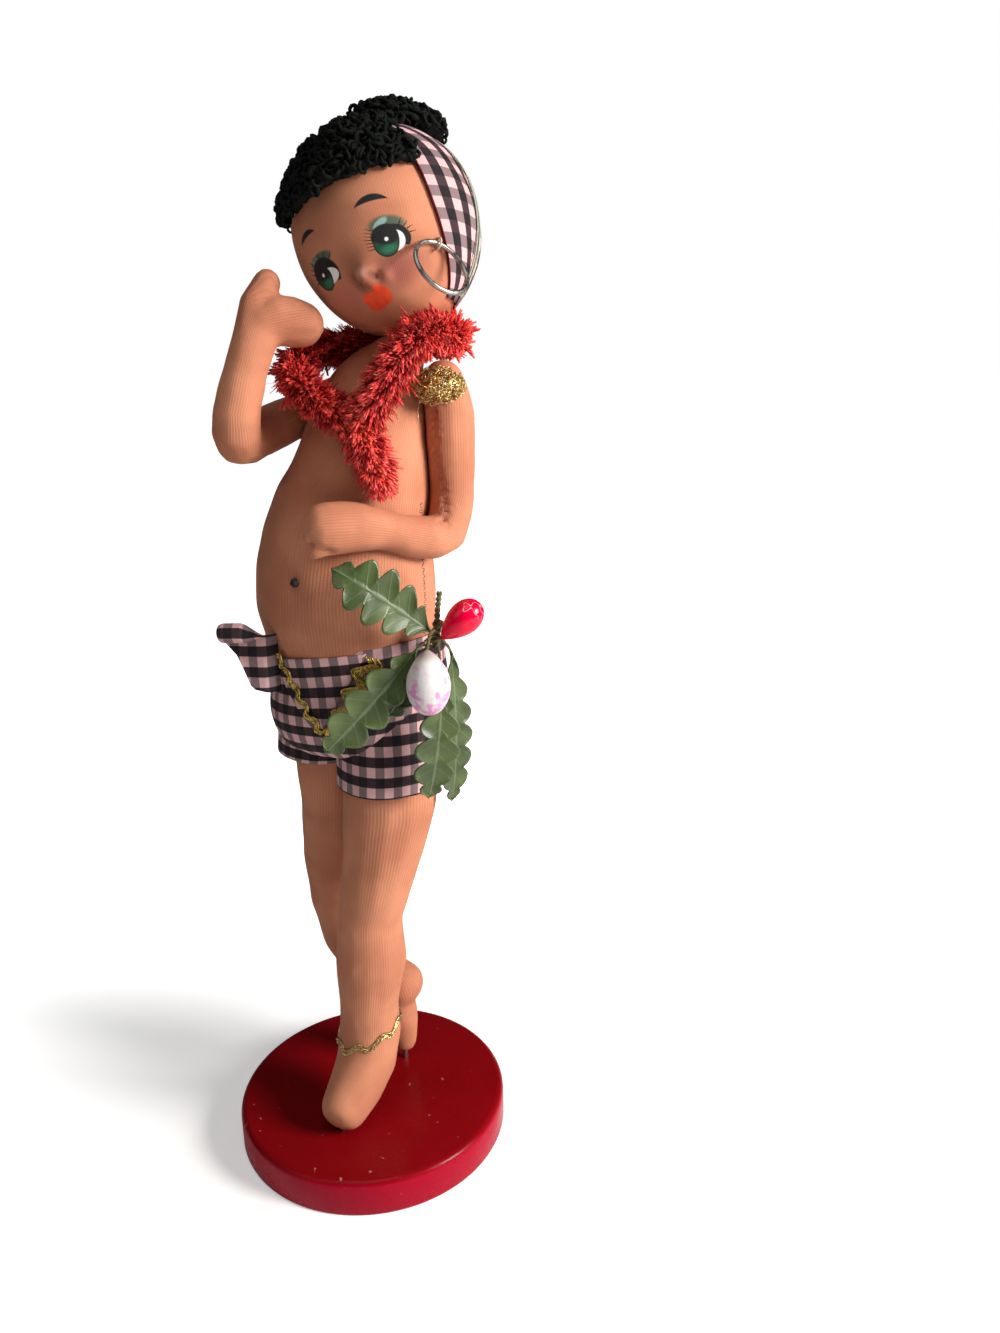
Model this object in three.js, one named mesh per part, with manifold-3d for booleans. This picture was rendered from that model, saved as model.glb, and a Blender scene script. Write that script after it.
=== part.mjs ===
// A stockinette pose doll dressed as a hula dancer, on a round lacquered base.
// Millimetres, +Z up. The origin is the centre of the base's underside.
// The doll faces -Y, and her left side is +X.
import * as THREE from 'three';
import { mergeVertices } from 'three/addons/utils/BufferGeometryUtils.js';
import Module from 'manifold-3d';

// Driving dimensions: gaps, cloth and wire
const CLEAR = 0.3;
const CLOTH = 1.2;
const WIRE_R = 1.1;
const ARM_WIRE_R = 0.8;
const STEM_R = 0.7;

// Driving dimensions: base
const BASE_R = 51;
const BASE_THICK = 14;
const BASE_EDGE = 2.6;
const WIRE_DEPTH = 9;

// Driving dimensions: torso, as the radius at each level up the body
const PELVIS = { at: [0, 6, 170], r: 26 };
const HIP = { at: [1, 5, 188], r: 27.4 };
const BELLY = { at: [0.6, 0.6, 210], r: 30.2 };
const WAIST = { at: [2.4, 1.4, 231], r: 28.2 };
const RIBS = { at: [7, 4, 249], r: 23.8 };
const CHEST = { at: [10.4, 6, 266], r: 20.2 };
const COLLAR = { at: [14, 8, 279], r: 15.6 };
const NECK_BASE = { at: [19.6, 8.4, 287.6], r: 9 };
const NECK_TOP = { at: [25.4, 7, 294.4], r: 6.8 };
const NAVEL_AT = [1.8, 220.8];
const NAVEL_R = 1.5;

// Driving dimensions: head, hair and scarf
const HEAD_AT = [15.4, 10.7, 326.2];
const HEAD_HALF_WIDTH = 28.3;
const CHIN_DROP = 32.7;
const CROWN_RISE = 28;
const HEAD_LEAN = -21.3;
const HEAD_NOD = -8;
const NOSE = { at: [0, -21.2, -21.6], r: 3.6 };
const FRINGE_THICK = 4;
const FRINGE_CROWN = 2.4;
const FRINGE_LOW = 4.2;
const CROWN_BACK = 0;
const TEMPLE = { out: -14, slope: 0.5 };
const TOPKNOT = { at: [12.4, 3, 25.4], wide: 16.6, deep: 14, high: 8, tilt: 30 };
const SCARF_THICK = 1.5;
const SCARF_TOP = 21;
const SCARF_LOW = -30;
const SCARF_TURN = -15.7;

// Driving dimensions: earring
const EAR = [21.4, -12.6, -18.2];
const HOOP_R = 8.7;
const HOOP_WIRE_R = 0.65;
const STITCH_R = 1.6;
const STITCH_WIRE_R = 0.4;

// A point of an arm that lies against the waist: its bearing, how far out it is, its height and radius
function besideWaist(bearing, out, z, r) {
  const angle = THREE.MathUtils.degToRad(bearing);
  const reach = WAIST.r + out;
  return [WAIST.at[0] + reach * Math.cos(angle), WAIST.at[1] + reach * Math.sin(angle), z, r];
}

// Driving dimensions: limbs, as points with a radius
const LEFT_LEG = [
  [14, 5, 168, 16],
  [14.4, 2, 154, 16.8],
  [14, 0, 138, 16.6],
  [10.6, -2, 116, 13.8],
  [6.4, -5, 94, 11.6],
  [6.2, -5.5, 76, 13],
  [4.4, -6, 57, 10.8],
  [4.4, -6.6, 45, 11.4],
  [4.8, -10.6, 34.4, 11.2],
  [4.2, -18.4, 27, 10],
  [3.4, -26, 21.8, 8.6],
];
const LEFT_ANKLE = LEFT_LEG[6];
const RIGHT_LEG = [
  [-14.4, 10, 167, 15.6],
  [-15.6, 12.4, 150, 16],
  [-17, 14, 127, 15],
  [-20.8, 15, 104, 13.2],
  [-22, 17, 83, 11.7],
  [-18.6, 18, 67, 11.2],
  [-11, 19, 55, 10],
  [-3, 19.8, 49.6, 9.2],
  [3.8, 20, 48, 8.6],
];
const RIGHT_FOOT = [
  [-6, 19, 51, 8.4],
  [-1, 19.4, 42, 8.4],
  [2, 19.6, 32, 6.6],
  [3, 19.5, 21.6, 4.8],
];
const LEFT_SHOULDER = [35.8, 12.4];
const LEFT_SWING = 45;
const LEFT_ARM = [
  [LEFT_SHOULDER[0] - 1, LEFT_SHOULDER[1] - 1.6, 280.6, 6.4],
  [...LEFT_SHOULDER, 271, 7.8],
  [...LEFT_SHOULDER, 258, 7.8],
  [...LEFT_SHOULDER, 245, 7.2],
  [35.8, 7, 233.4, 7.1],
  besideWaist(-8.4, 1.9, 232.8, 6.8),
  besideWaist(-32.5, 1.2, 236.4, 6.1),
  besideWaist(-51.4, 3.5, 238.4, 7.6),
  besideWaist(-66.2, 6.5, 238.6, 8),
];
const RIGHT_SHOULDER = [-11.4, 6.5];
const RIGHT_SWING = 32;
const RIGHT_ARM = [
  [...RIGHT_SHOULDER, 272, 6.4],
  [-15.6, -4, 269, 7.2],
  [-17.4, -18, 265, 7.2],
  [-16.2, -28.2, 263.4, 7.3],
  [-13, -32, 271.4, 7.1],
  [-10.4, -29.6, 284, 6.3],
  [-8.6, -26.4, 293, 6.3],
];
const RIGHT_PALM = [
  [-8.4, -26, 294, 6],
  [-4.4, -20.4, 298.6, 7.8],
  [0.2, -15, 297.6, 7.2],
];
const RIGHT_THUMB = [
  [-9, -26.4, 295, 5.4],
  [-9, -24, 303.4, 4.6],
  [-7, -20.4, 309.4, 4.1],
];

// Driving dimensions: the shorts, as rings of cloth round the hips and the thighs
const WAISTBAND_Z = 196;
const WAIST_SLOPE = 0.12;
const SHORTS_HIP = [
  [1, 4.4, WAISTBAND_Z + 8, HIP.r + 2.6],
  [1, 5, 186, HIP.r + 2.6],
  [0, 6, 173, PELVIS.r + 5],
  [-1, 5.6, 163, PELVIS.r + 1.4],
];
const LEFT_CUFF_Z = 146;
const LEFT_SHORT = [
  [13, 4.4, 172, 19.4],
  [14.2, 2, 158, 18.8],
  [14.4, 0.8, LEFT_CUFF_Z - 4, 18.4],
];
const RIGHT_CUFF_Z = 151;
const RIGHT_SHORT = [
  [-12, 9, 174, 20],
  [-14.6, 11, 162, 20.6],
  [-16.4, 12, RIGHT_CUFF_Z - 4, 21],
];

// Driving dimensions: trims
const RICRAC_THICK = 0.9;
const ANKLET_RISE = -10.5;
const ANKLET_HIGH = 3.2;
const LEI_CORE_R = 4.7;
const LEI_REACH = 3.2;
const LEAF_THICK = 0.6;
const EGG = { at: [41.8, -17.6, 190.4], r: 6.9, long: 20, shape: [1.08, 0.6] };
const BUD = { r: 4.5, long: 17, shape: [1.35, 0.8] };

const wasm = await Module();
wasm.setup();

// Turns a closed three.js geometry into a solid
function solid(geometry, matrix) {
  const bare = geometry.clone();
  bare.deleteAttribute('normal');
  bare.deleteAttribute('uv');
  if (matrix) bare.applyMatrix4(matrix);
  const merged = mergeVertices(bare, 1e-4);
  return new wasm.Manifold(new wasm.Mesh({
    numProp: 3,
    vertProperties: new Float32Array(merged.attributes.position.array),
    triVerts: new Uint32Array(merged.index.array),
  }));
}

// Turns a solid back into a three.js geometry
function geometryOf(body) {
  const mesh = body.getMesh();
  const geometry = new THREE.BufferGeometry();
  geometry.setAttribute('position', new THREE.BufferAttribute(mesh.vertProperties, 3));
  geometry.setIndex(new THREE.BufferAttribute(mesh.triVerts, 1));
  return geometry;
}

// Joins solids into one
function join(...bodies) {
  return bodies.reduce((sum, body) => sum.add(body));
}

// Cuts each of the tools away from a body
function cut(body, ...tools) {
  return tools.reduce((left, tool) => left.subtract(tool), body);
}

// The body without the loose offcuts that a cut leaves
function whole(body) {
  return body.decompose().reduce((best, piece) => (piece.volume() > best.volume() ? piece : best));
}

// A closed skin over rings of points, each ring going round the way to the next
function skin(rings, startPole, endPole) {
  const sides = rings[0].length;
  const points = [...rings.flat(), startPole, endPole];
  const start = points.length - 2;
  const end = points.length - 1;
  const index = [];
  for (let i = 0; i < sides; i += 1) {
    const j = (i + 1) % sides;
    index.push(start, j, i);
    for (let k = 0; k < rings.length - 1; k += 1) {
      const a = k * sides;
      const b = a + sides;
      index.push(a + i, a + j, b + i, a + j, b + j, b + i);
    }
    const last = (rings.length - 1) * sides;
    index.push(end, last + i, last + j);
  }
  const geometry = new THREE.BufferGeometry();
  geometry.setAttribute('position', new THREE.Float32BufferAttribute(points.flatMap((p) => p.toArray()), 3));
  geometry.setIndex(index);
  return geometry;
}

// A stuffed form that swells and tapers along a smooth line, with rounded ends.
// Each station is x, y, z and the radius there.
function stuffed(stations, {
  sides = 14, steps = 3, grow = 0, round = 1, across = [1, 0, 0], flat = 1,
} = {}) {
  const line = new THREE.CatmullRomCurve3(stations.map(([x, y, z]) => new THREE.Vector3(x, y, z)));
  const girth = new THREE.CatmullRomCurve3(stations.map((s, i) => new THREE.Vector3(i, s[3], 0)));
  line.curveType = 'catmullrom';
  girth.curveType = 'catmullrom';
  const side = new THREE.Vector3(...across);
  const count = (stations.length - 1) * steps;
  const ring = (centre, tangent, radius) => {
    const u = side.clone().addScaledVector(tangent, -side.dot(tangent)).normalize();
    const v = tangent.clone().cross(u);
    return Array.from({ length: sides }, (_, i) => {
      const angle = (2 * Math.PI * i) / sides;
      return centre.clone()
        .addScaledVector(u, radius * Math.cos(angle))
        .addScaledVector(v, radius * flat * Math.sin(angle));
    });
  };
  const rings = [];
  const dome = [60, 30];
  const place = (t) => [line.getPoint(t), line.getTangent(t), girth.getPoint(t).y + grow];
  const cap = (t, sign, degrees) => {
    const [centre, tangent, radius] = place(t);
    const angle = THREE.MathUtils.degToRad(degrees);
    const out = centre.addScaledVector(tangent, sign * radius * round * Math.sin(angle));
    return degrees === 90 ? out : ring(out, tangent, radius * Math.cos(angle));
  };
  dome.forEach((degrees) => rings.push(cap(0, -1, degrees)));
  for (let k = 0; k <= count; k += 1) {
    const [centre, tangent, radius] = place(k / count);
    rings.push(ring(centre, tangent, radius));
  }
  [...dome].reverse().forEach((degrees) => rings.push(cap(1, 1, degrees)));
  return skin(rings, cap(0, -1, 90), cap(1, 1, 90));
}

// A block whose lowest and highest corners are given
function block(low, high) {
  const size = new THREE.Vector3(...high).sub(new THREE.Vector3(...low));
  const geometry = new THREE.BoxGeometry(size.x, size.y, size.z);
  geometry.translate((low[0] + high[0]) / 2, (low[1] + high[1]) / 2, (low[2] + high[2]) / 2);
  return solid(geometry);
}

const station = ({ at, r }) => [...at, r];
const TORSO_LINE = [PELVIS, HIP, BELLY, WAIST, RIBS, CHEST, COLLAR, NECK_BASE, NECK_TOP].map(station);
const LEFT_ARM_PLANE = [0.94, -0.34, 0];

// Where the head sits: its own frame has +Z out of the crown and -Y out of the nose
const headFrame = new THREE.Matrix4()
  .makeRotationFromEuler(new THREE.Euler(
    THREE.MathUtils.degToRad(HEAD_NOD), THREE.MathUtils.degToRad(HEAD_LEAN), 0, 'ZXY',
  ))
  .setPosition(...HEAD_AT);

// A point of the head's frame, in the doll's
const onHead = (point) => new THREE.Vector3(...point).applyMatrix4(headFrame);

// The head's egg, in its own frame, grown by a margin
function headEgg(grow) {
  const levels = 12;
  const profile = Array.from({ length: levels + 1 }, (_, i) => {
    const angle = -Math.PI / 2 + (Math.PI * i) / levels;
    const height = (angle < 0 ? CHIN_DROP : CROWN_RISE) + grow;
    return new THREE.Vector2((HEAD_HALF_WIDTH + grow) * Math.cos(angle), height * Math.sin(angle));
  });
  profile[0].x = 0;
  profile[levels].x = 0;
  return new THREE.LatheGeometry(profile, 20).rotateX(Math.PI / 2);
}

// Wires: each follows the middle of the limb that it stiffens
const legWireLine = (leg, top) => {
  const foot = leg[leg.length - 1];
  const down = [foot[0], foot[1], BASE_THICK, WIRE_R];
  const tip = [foot[0], foot[1], BASE_THICK - WIRE_DEPTH + WIRE_R, WIRE_R];
  return [top, ...leg.map(([x, y, z]) => [x, y, z, WIRE_R]), down, tip];
};
const LEFT_LEG_WIRE = legWireLine(LEFT_LEG, [10, 5, 184, WIRE_R]);
const RIGHT_INSTEP = [-8.6, 19, 54];
const RIGHT_LEG_WIRE = legWireLine(
  [...RIGHT_LEG.slice(0, -3), RIGHT_INSTEP, ...RIGHT_FOOT.slice(1)], [-10, 7, 184, WIRE_R],
);
const neckPoint = (up) => [...onHead([0, 0, -CHIN_DROP + up]).toArray(), WIRE_R];
const SPINE_WIRE = [
  [3, 3, 214, WIRE_R],
  [6, 5, 244, WIRE_R],
  [10.5, 7, 268, WIRE_R],
  [19.5, 8, 285, WIRE_R],
  neckPoint(-2),
  neckPoint(6),
  neckPoint(16),
];
const armWireLine = (root, arm) => [root, ...arm.slice(1).map(([x, y, z]) => [x, y, z, ARM_WIRE_R])];
const LEFT_ARM_WIRE = armWireLine([27, 9, 279, ARM_WIRE_R], LEFT_ARM);
const RIGHT_ARM_WIRE = armWireLine([-5, 8, 273, ARM_WIRE_R], RIGHT_ARM);
const wire = (line, grow = 0, across = [1, 0, 0]) => stuffed(line, { sides: 5, steps: 1, grow, across });

// Bodies that their neighbours are cut by, grown by a margin
const torsoSolid = (grow) => solid(stuffed(TORSO_LINE, { sides: 18, steps: 2, grow, round: 0.55 }));
const leftLegSolid = (grow) => solid(stuffed(LEFT_LEG, { sides: 12, steps: 1, grow, round: 0.6 }));
const rightLegSolid = (grow) => join(
  solid(stuffed(RIGHT_LEG, { sides: 12, steps: 1, grow, round: 0.8 })),
  solid(stuffed(RIGHT_FOOT, { sides: 10, steps: 1, grow, round: 0.8 })),
);
const leftArmSolid = (grow) => solid(stuffed(
  LEFT_ARM, { sides: 10, steps: 2, grow, across: LEFT_ARM_PLANE },
));
const rightArmSolid = (grow) => join(
  solid(stuffed(RIGHT_ARM, { sides: 10, steps: 2, grow })),
  solid(stuffed(RIGHT_PALM, { sides: 10, steps: 2, grow, across: [0.5, -0.2, 0.8], flat: 0.8 })),
  solid(stuffed(RIGHT_THUMB, { sides: 8, steps: 1, grow })),
);
const headSolid = (grow) => solid(headEgg(grow), headFrame);

// A limb as it stands at each of a few angles of its swing about an upright line
function swung(body, [x, y], degrees) {
  const stops = 5;
  return Array.from({ length: stops }, (_, i) => body
    .translate([-x, -y, 0]).rotate([0, 0, (degrees * i) / (stops - 1)]).translate([x, y, 0]));
}

// The dents that the arms press into the body where they turn against it
function shoulderDents() {
  const slack = 2 * CLEAR;
  const upperArm = LEFT_ARM.slice(0, 4).map(([x, y, z, r]) => {
    const off = Math.hypot(x - LEFT_SHOULDER[0], y - LEFT_SHOULDER[1]);
    return [...LEFT_SHOULDER, z, r + off + slack];
  });
  return [solid(stuffed(upperArm, { sides: 16, steps: 1 })), rightShoulderBall()];
}

// The ball that the right arm's rounded top turns in
function rightShoulderBall() {
  const [x, y, z, r] = RIGHT_ARM[0];
  return solid(new THREE.SphereGeometry(r + 3 * CLEAR, 14, 10).translate(x, y, z));
}

// The round wooden base, with two drilled holes for the leg wires
function baseDisc() {
  const bevels = 3;
  const rounded = Array.from({ length: bevels + 1 }, (_, i) => {
    const angle = (Math.PI / 2) * (i / bevels);
    const inner = new THREE.Vector2(BASE_R - BASE_EDGE, BASE_THICK - BASE_EDGE);
    return inner.add(new THREE.Vector2(Math.cos(angle), Math.sin(angle)).multiplyScalar(BASE_EDGE));
  });
  const profile = [
    new THREE.Vector2(0, 0),
    new THREE.Vector2(BASE_R - 1, 0),
    new THREE.Vector2(BASE_R, 1),
    ...rounded,
    new THREE.Vector2(0, BASE_THICK),
  ];
  const disc = solid(new THREE.LatheGeometry(profile, 36).rotateX(Math.PI / 2));
  return geometryOf(cut(disc, solid(wire(LEFT_LEG_WIRE, CLEAR)), solid(wire(RIGHT_LEG_WIRE, CLEAR))));
}

// A leg, cut off where it meets the pelvis and flat where it stands
function leg(body, line) {
  const floor = block([-BASE_R, -BASE_R, -1], [BASE_R, BASE_R, BASE_THICK + CLEAR]);
  return cut(body, torsoSolid(CLEAR), floor, solid(wire(line, CLEAR)));
}

// The pear-shaped body, with its neck hollowed to the head
function torso() {
  return geometryOf(cut(
    torsoSolid(0),
    ...shoulderDents(),
    headSolid(CLEAR + 0.1),
    neckRelief(),
    solid(wire(LEFT_LEG_WIRE, CLEAR)),
    solid(wire(RIGHT_LEG_WIRE, CLEAR)),
    solid(wire(SPINE_WIRE, CLEAR)),
    solid(navelShape(CLEAR)),
  ));
}

// The room that the scarf's lower edge sweeps as the head turns
function neckRelief() {
  const above = block([-60, -60, SCARF_LOW - CLEAR], [60, 60, 60]);
  const sweep = solid(headEgg(SCARF_THICK + 2 * CLEAR)).intersect(above);
  return sweep.transform(headFrame.elements);
}

// The embroidered knot of the navel, set in the front of the belly
function navelShape(grow) {
  const [x, z] = NAVEL_AT;
  const y = BELLY.at[1] - BELLY.r + NAVEL_R * 0.3;
  const knot = new THREE.SphereGeometry(NAVEL_R + grow, 10, 6);
  return knot.translate(x, y, z);
}

// The head with its small nose, bored for the neck wire
function head() {
  const inverse = headFrame.clone().invert();
  const nose = new THREE.SphereGeometry(NOSE.r, 10, 8).translate(...NOSE.at);
  return geometryOf(cut(
    join(solid(headEgg(0)), solid(nose)),
    solid(wire(SPINE_WIRE, CLEAR), inverse),
  ));
}

// The scarf's side view, in the head's frame: everything behind its front edge
function scarfRegion(grow) {
  const edge = new THREE.Shape();
  edge.moveTo(-14.4 - grow, SCARF_TOP + grow);
  edge.quadraticCurveTo(-8.6 - grow, 11, -9.2 - grow, 2.4);
  edge.quadraticCurveTo(-7.6 - grow, -14, 4 - grow, SCARF_LOW - grow);
  edge.lineTo(60, SCARF_LOW - grow);
  edge.lineTo(60, SCARF_TOP + grow);
  const slab = new THREE.ExtrudeGeometry(edge, { depth: 120, bevelEnabled: false, curveSegments: 4 });
  slab.applyMatrix4(new THREE.Matrix4().makeBasis(
    new THREE.Vector3(0, 1, 0), new THREE.Vector3(0, 0, 1), new THREE.Vector3(1, 0, 0),
  ));
  slab.translate(-60, 0, 0).rotateZ(THREE.MathUtils.degToRad(SCARF_TURN));
  return solid(slab);
}

// A folded kerchief round the sides and back of the head
function scarfSolid(grow) {
  const shell = cut(solid(headEgg(CLEAR + SCARF_THICK + grow)), solid(headEgg(CLEAR)));
  return shell.intersect(scarfRegion(grow));
}

// An egg with rounded bumps, as a mass of small curls has
function curlMass(wide, deep, high, bump, sides, levels) {
  const geometry = new THREE.SphereGeometry(1, sides, levels).rotateX(Math.PI / 2);
  const place = geometry.attributes.position;
  const point = new THREE.Vector3();
  for (let i = 0; i < place.count; i += 1) {
    point.fromBufferAttribute(place, i);
    const swell = Math.sin(7 * point.x + 2) * Math.sin(6 * point.y + 1) * Math.cos(5 * point.z);
    point.multiply(new THREE.Vector3(wide, deep, high)).multiplyScalar(1 + (bump / wide) * swell);
    place.setXYZ(i, point.x, point.y, point.z);
  }
  return geometry;
}

// The curls over the brow, up to the crown
function hairFringe(grow = 0) {
  const wide = HEAD_HALF_WIDTH + FRINGE_THICK + grow;
  const mass = solid(curlMass(wide, wide, CROWN_RISE + FRINGE_CROWN + grow, 1.2, 20, 12));
  const low = FRINGE_LOW - grow;
  const side = 60;
  const outline = [
    [-side, low + TEMPLE.slope * (side + TEMPLE.out)], [TEMPLE.out, low], [side, low],
    [side, side], [-side, side],
  ];
  const front = frontPrism(outline, CROWN_BACK + grow);
  return whole(cut(mass.intersect(front), solid(headEgg(CLEAR)), scarfRegion(CLEAR)));
}

// The pile of curls on the crown, above the scarf
function hairTopknot() {
  const pile = solid(curlMass(TOPKNOT.wide, TOPKNOT.deep, TOPKNOT.high, 1.4, 16, 8)
    .rotateY(THREE.MathUtils.degToRad(TOPKNOT.tilt))
    .translate(...TOPKNOT.at));
  const crown = solid(headEgg(FRINGE_CROWN)).intersect(
    block([-60, CROWN_BACK + CLEAR, SCARF_TOP + 1], [60, 60, 60]),
  );
  return whole(cut(join(pile, crown), solid(headEgg(CLEAR)), scarfRegion(CLEAR), hairFringe(CLEAR)));
}

// The earring: its plane and centre, worked out from the ear
const HOOP_NORMAL = new THREE.Vector3(0.786, -0.285, 0.548).normalize();
const HOOP_DOWN = new THREE.Vector3(0.378, -0.48, -0.792).normalize();
const EAR_AT = onHead(EAR);
const HOOP_AT = EAR_AT.clone().addScaledVector(HOOP_DOWN, HOOP_R);

// A ring of round wire about a centre
function ring(centre, normal, radius, wireRadius, sides, turns) {
  const geometry = new THREE.TorusGeometry(radius, wireRadius, sides, turns);
  const turn = new THREE.Quaternion().setFromUnitVectors(new THREE.Vector3(0, 0, 1), normal);
  geometry.applyQuaternion(turn);
  return geometry.translate(centre.x, centre.y, centre.z);
}

// The thread loop that holds the hoop, crossing its wire square on
function earringStitch() {
  const across = HOOP_NORMAL.clone().cross(HOOP_DOWN);
  const scarf = scarfSolid(CLEAR).transform(headFrame.elements);
  return whole(cut(solid(ring(EAR_AT, across, STITCH_R, STITCH_WIRE_R, 6, 14)), headSolid(CLEAR), scarf));
}

// The arms, pressed flat where they lie against the body and the head
function leftArm() {
  const belly = solid(stuffed(TORSO_LINE.slice(0, 6), { sides: 18, steps: 2, grow: CLEAR, round: 0.55 }));
  const [x, y, z] = LEFT_ARM[3];
  const elbow = block([-BASE_R, -BASE_R, 0], [BASE_R, BASE_R, z]);
  const forearm = block([-BASE_R, -BASE_R, 0], [x, y - 9, z + 20]);
  return cut(
    leftArmSolid(0),
    belly.intersect(join(elbow, forearm)),
    solid(wire(LEFT_ARM_WIRE, CLEAR, LEFT_ARM_PLANE)),
  );
}
function rightArm() {
  const body = cut(torsoSolid(1.5 * CLEAR), rightShoulderBall());
  return cut(
    rightArmSolid(0),
    ...swung(body, RIGHT_SHOULDER, RIGHT_SWING),
    headSolid(2 * CLEAR),
    solid(wire(RIGHT_ARM_WIRE, CLEAR)),
  );
}

// The shorts: rings of cloth round the hips and each thigh, open at waist and cuffs
function shortsForm(grow) {
  return join(
    solid(stuffed(SHORTS_HIP, { sides: 18, steps: 1, grow, round: 0.3 })),
    solid(stuffed(LEFT_SHORT, { sides: 16, steps: 1, grow, round: 0.3 })),
    solid(stuffed(RIGHT_SHORT, { sides: 16, steps: 1, grow, round: 0.3 })),
  );
}
function shortsBand() {
  const side = 80;
  const inseam = -2;
  const waistAt = (x) => WAISTBAND_Z + WAIST_SLOPE * x;
  const outline = [
    [-side, waistAt(-side)], [-side, RIGHT_CUFF_Z], [inseam, RIGHT_CUFF_Z],
    [inseam, LEFT_CUFF_Z], [side, LEFT_CUFF_Z], [side, waistAt(side)],
  ];
  return frontPrism(outline, side);
}
function shorts() {
  const shell = cut(shortsForm(0), shortsForm(-CLOTH));
  return cut(shell.intersect(shortsBand()), torsoSolid(CLEAR), leftLegSolid(CLEAR), rightLegSolid(CLEAR));
}

// A flat outline in the front view, pushed through the whole doll
function frontPrism(points, behind = 0) {
  const outline = new THREE.Shape(points.map(([x, z]) => new THREE.Vector2(x, z)));
  const slab = new THREE.ExtrudeGeometry(outline, { depth: 80 + behind, bevelEnabled: false });
  return solid(slab.rotateX(Math.PI / 2).translate(0, behind, 0));
}

// The front wrap of the shorts: a V of cloth lying over them
const WRAP_LEFT = [-14, 193.4];
const WRAP_RIGHT = [21, 197];
const WRAP_LOW = [5, 168.4];
function wrapPanel() {
  const over = cut(shortsForm(CLEAR + CLOTH), shortsForm(CLEAR), torsoSolid(CLEAR));
  return over.intersect(frontPrism([WRAP_LEFT, WRAP_LOW, WRAP_RIGHT]));
}

// Gold wavy braid along one edge of the wrap
function ricrac(from, to, width, waves) {
  const start = new THREE.Vector2(...from);
  const along = new THREE.Vector2(...to).sub(start);
  const side = new THREE.Vector2(-along.y, along.x).normalize();
  const steps = waves * 6;
  const edge = (offset) => Array.from({ length: steps + 1 }, (_, i) => {
    const t = i / steps;
    const sway = (width / 4) * Math.sin(2 * Math.PI * waves * t) + offset;
    return start.clone().addScaledVector(along, t).addScaledVector(side, sway).toArray();
  });
  const outline = [...edge(-width / 4), ...edge(width / 4).reverse()];
  const gap = 2 * CLEAR + CLOTH;
  const over = cut(shortsForm(gap + RICRAC_THICK), shortsForm(gap));
  return over.intersect(frontPrism(outline));
}

// A ribbon of cloth: each station has a point, its half height and the way its face looks
function ribbon(stations, thick) {
  const line = new THREE.CatmullRomCurve3(stations.map((s) => new THREE.Vector3(...s.at)));
  const high = new THREE.CatmullRomCurve3(stations.map((s, i) => new THREE.Vector3(i, s.half, 0)));
  const count = (stations.length - 1) * 3;
  const rings = [];
  for (let k = 0; k <= count; k += 1) {
    const t = k / count;
    const centre = line.getPoint(t);
    const tangent = line.getTangent(t);
    const up = new THREE.Vector3(0, 0, 1).addScaledVector(tangent, -tangent.z).normalize();
    const face = up.clone().cross(tangent).normalize();
    const half = high.getPoint(t).y;
    rings.push([[1, 1], [-1, 1], [-1, -1], [1, -1]].map(([f, u]) => centre.clone()
      .addScaledVector(face, (f * thick) / 2)
      .addScaledVector(up, u * half)));
  }
  return skin(rings, line.getPoint(0), line.getPoint(1));
}

// The end of the wrap, standing out stiffly from the right hip and curled over at its tip
const HIP_FLARE = [
  { at: [-9, -28.4, 190.4], half: 7.2 },
  { at: [-13.4, -32, 193.8], half: 6.8 },
  { at: [-18, -34.6, 197.6], half: 5.4 },
  { at: [-22.6, -35, 201.4], half: 3.8 },
  { at: [-25.6, -32.2, 203.6], half: 3 },
  { at: [-24.2, -28.8, 203.6], half: 2.6 },
];
function hipFlare() {
  return cut(solid(ribbon(HIP_FLARE, CLOTH)), shortsForm(2 * CLEAR + CLOTH));
}

// The braid round the left ankle, waving up and down
function anklet() {
  const waves = 7;
  const sides = waves * 4;
  const centre = LEFT_ANKLE;
  const rim = (height) => Array.from({ length: sides }, (_, i) => {
    const angle = (2 * Math.PI * i) / sides;
    const sway = 0.9 * Math.sin(waves * angle) + 4 * Math.cos(angle - 0.7);
    return new THREE.Vector3(30 * Math.cos(angle), 30 * Math.sin(angle), ANKLET_RISE + sway + height)
      .add(new THREE.Vector3(...centre.slice(0, 3)));
  });
  const pole = (height) => new THREE.Vector3(centre[0], centre[1], centre[2] + ANKLET_RISE + height);
  const band = solid(skin(
    [rim(-ANKLET_HIGH / 2), rim(ANKLET_HIGH / 2)], pole(-ANKLET_HIGH / 2), pole(ANKLET_HIGH / 2),
  ));
  return cut(leftLegSolid(CLEAR + RICRAC_THICK), leftLegSolid(CLEAR)).intersect(band);
}

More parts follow.
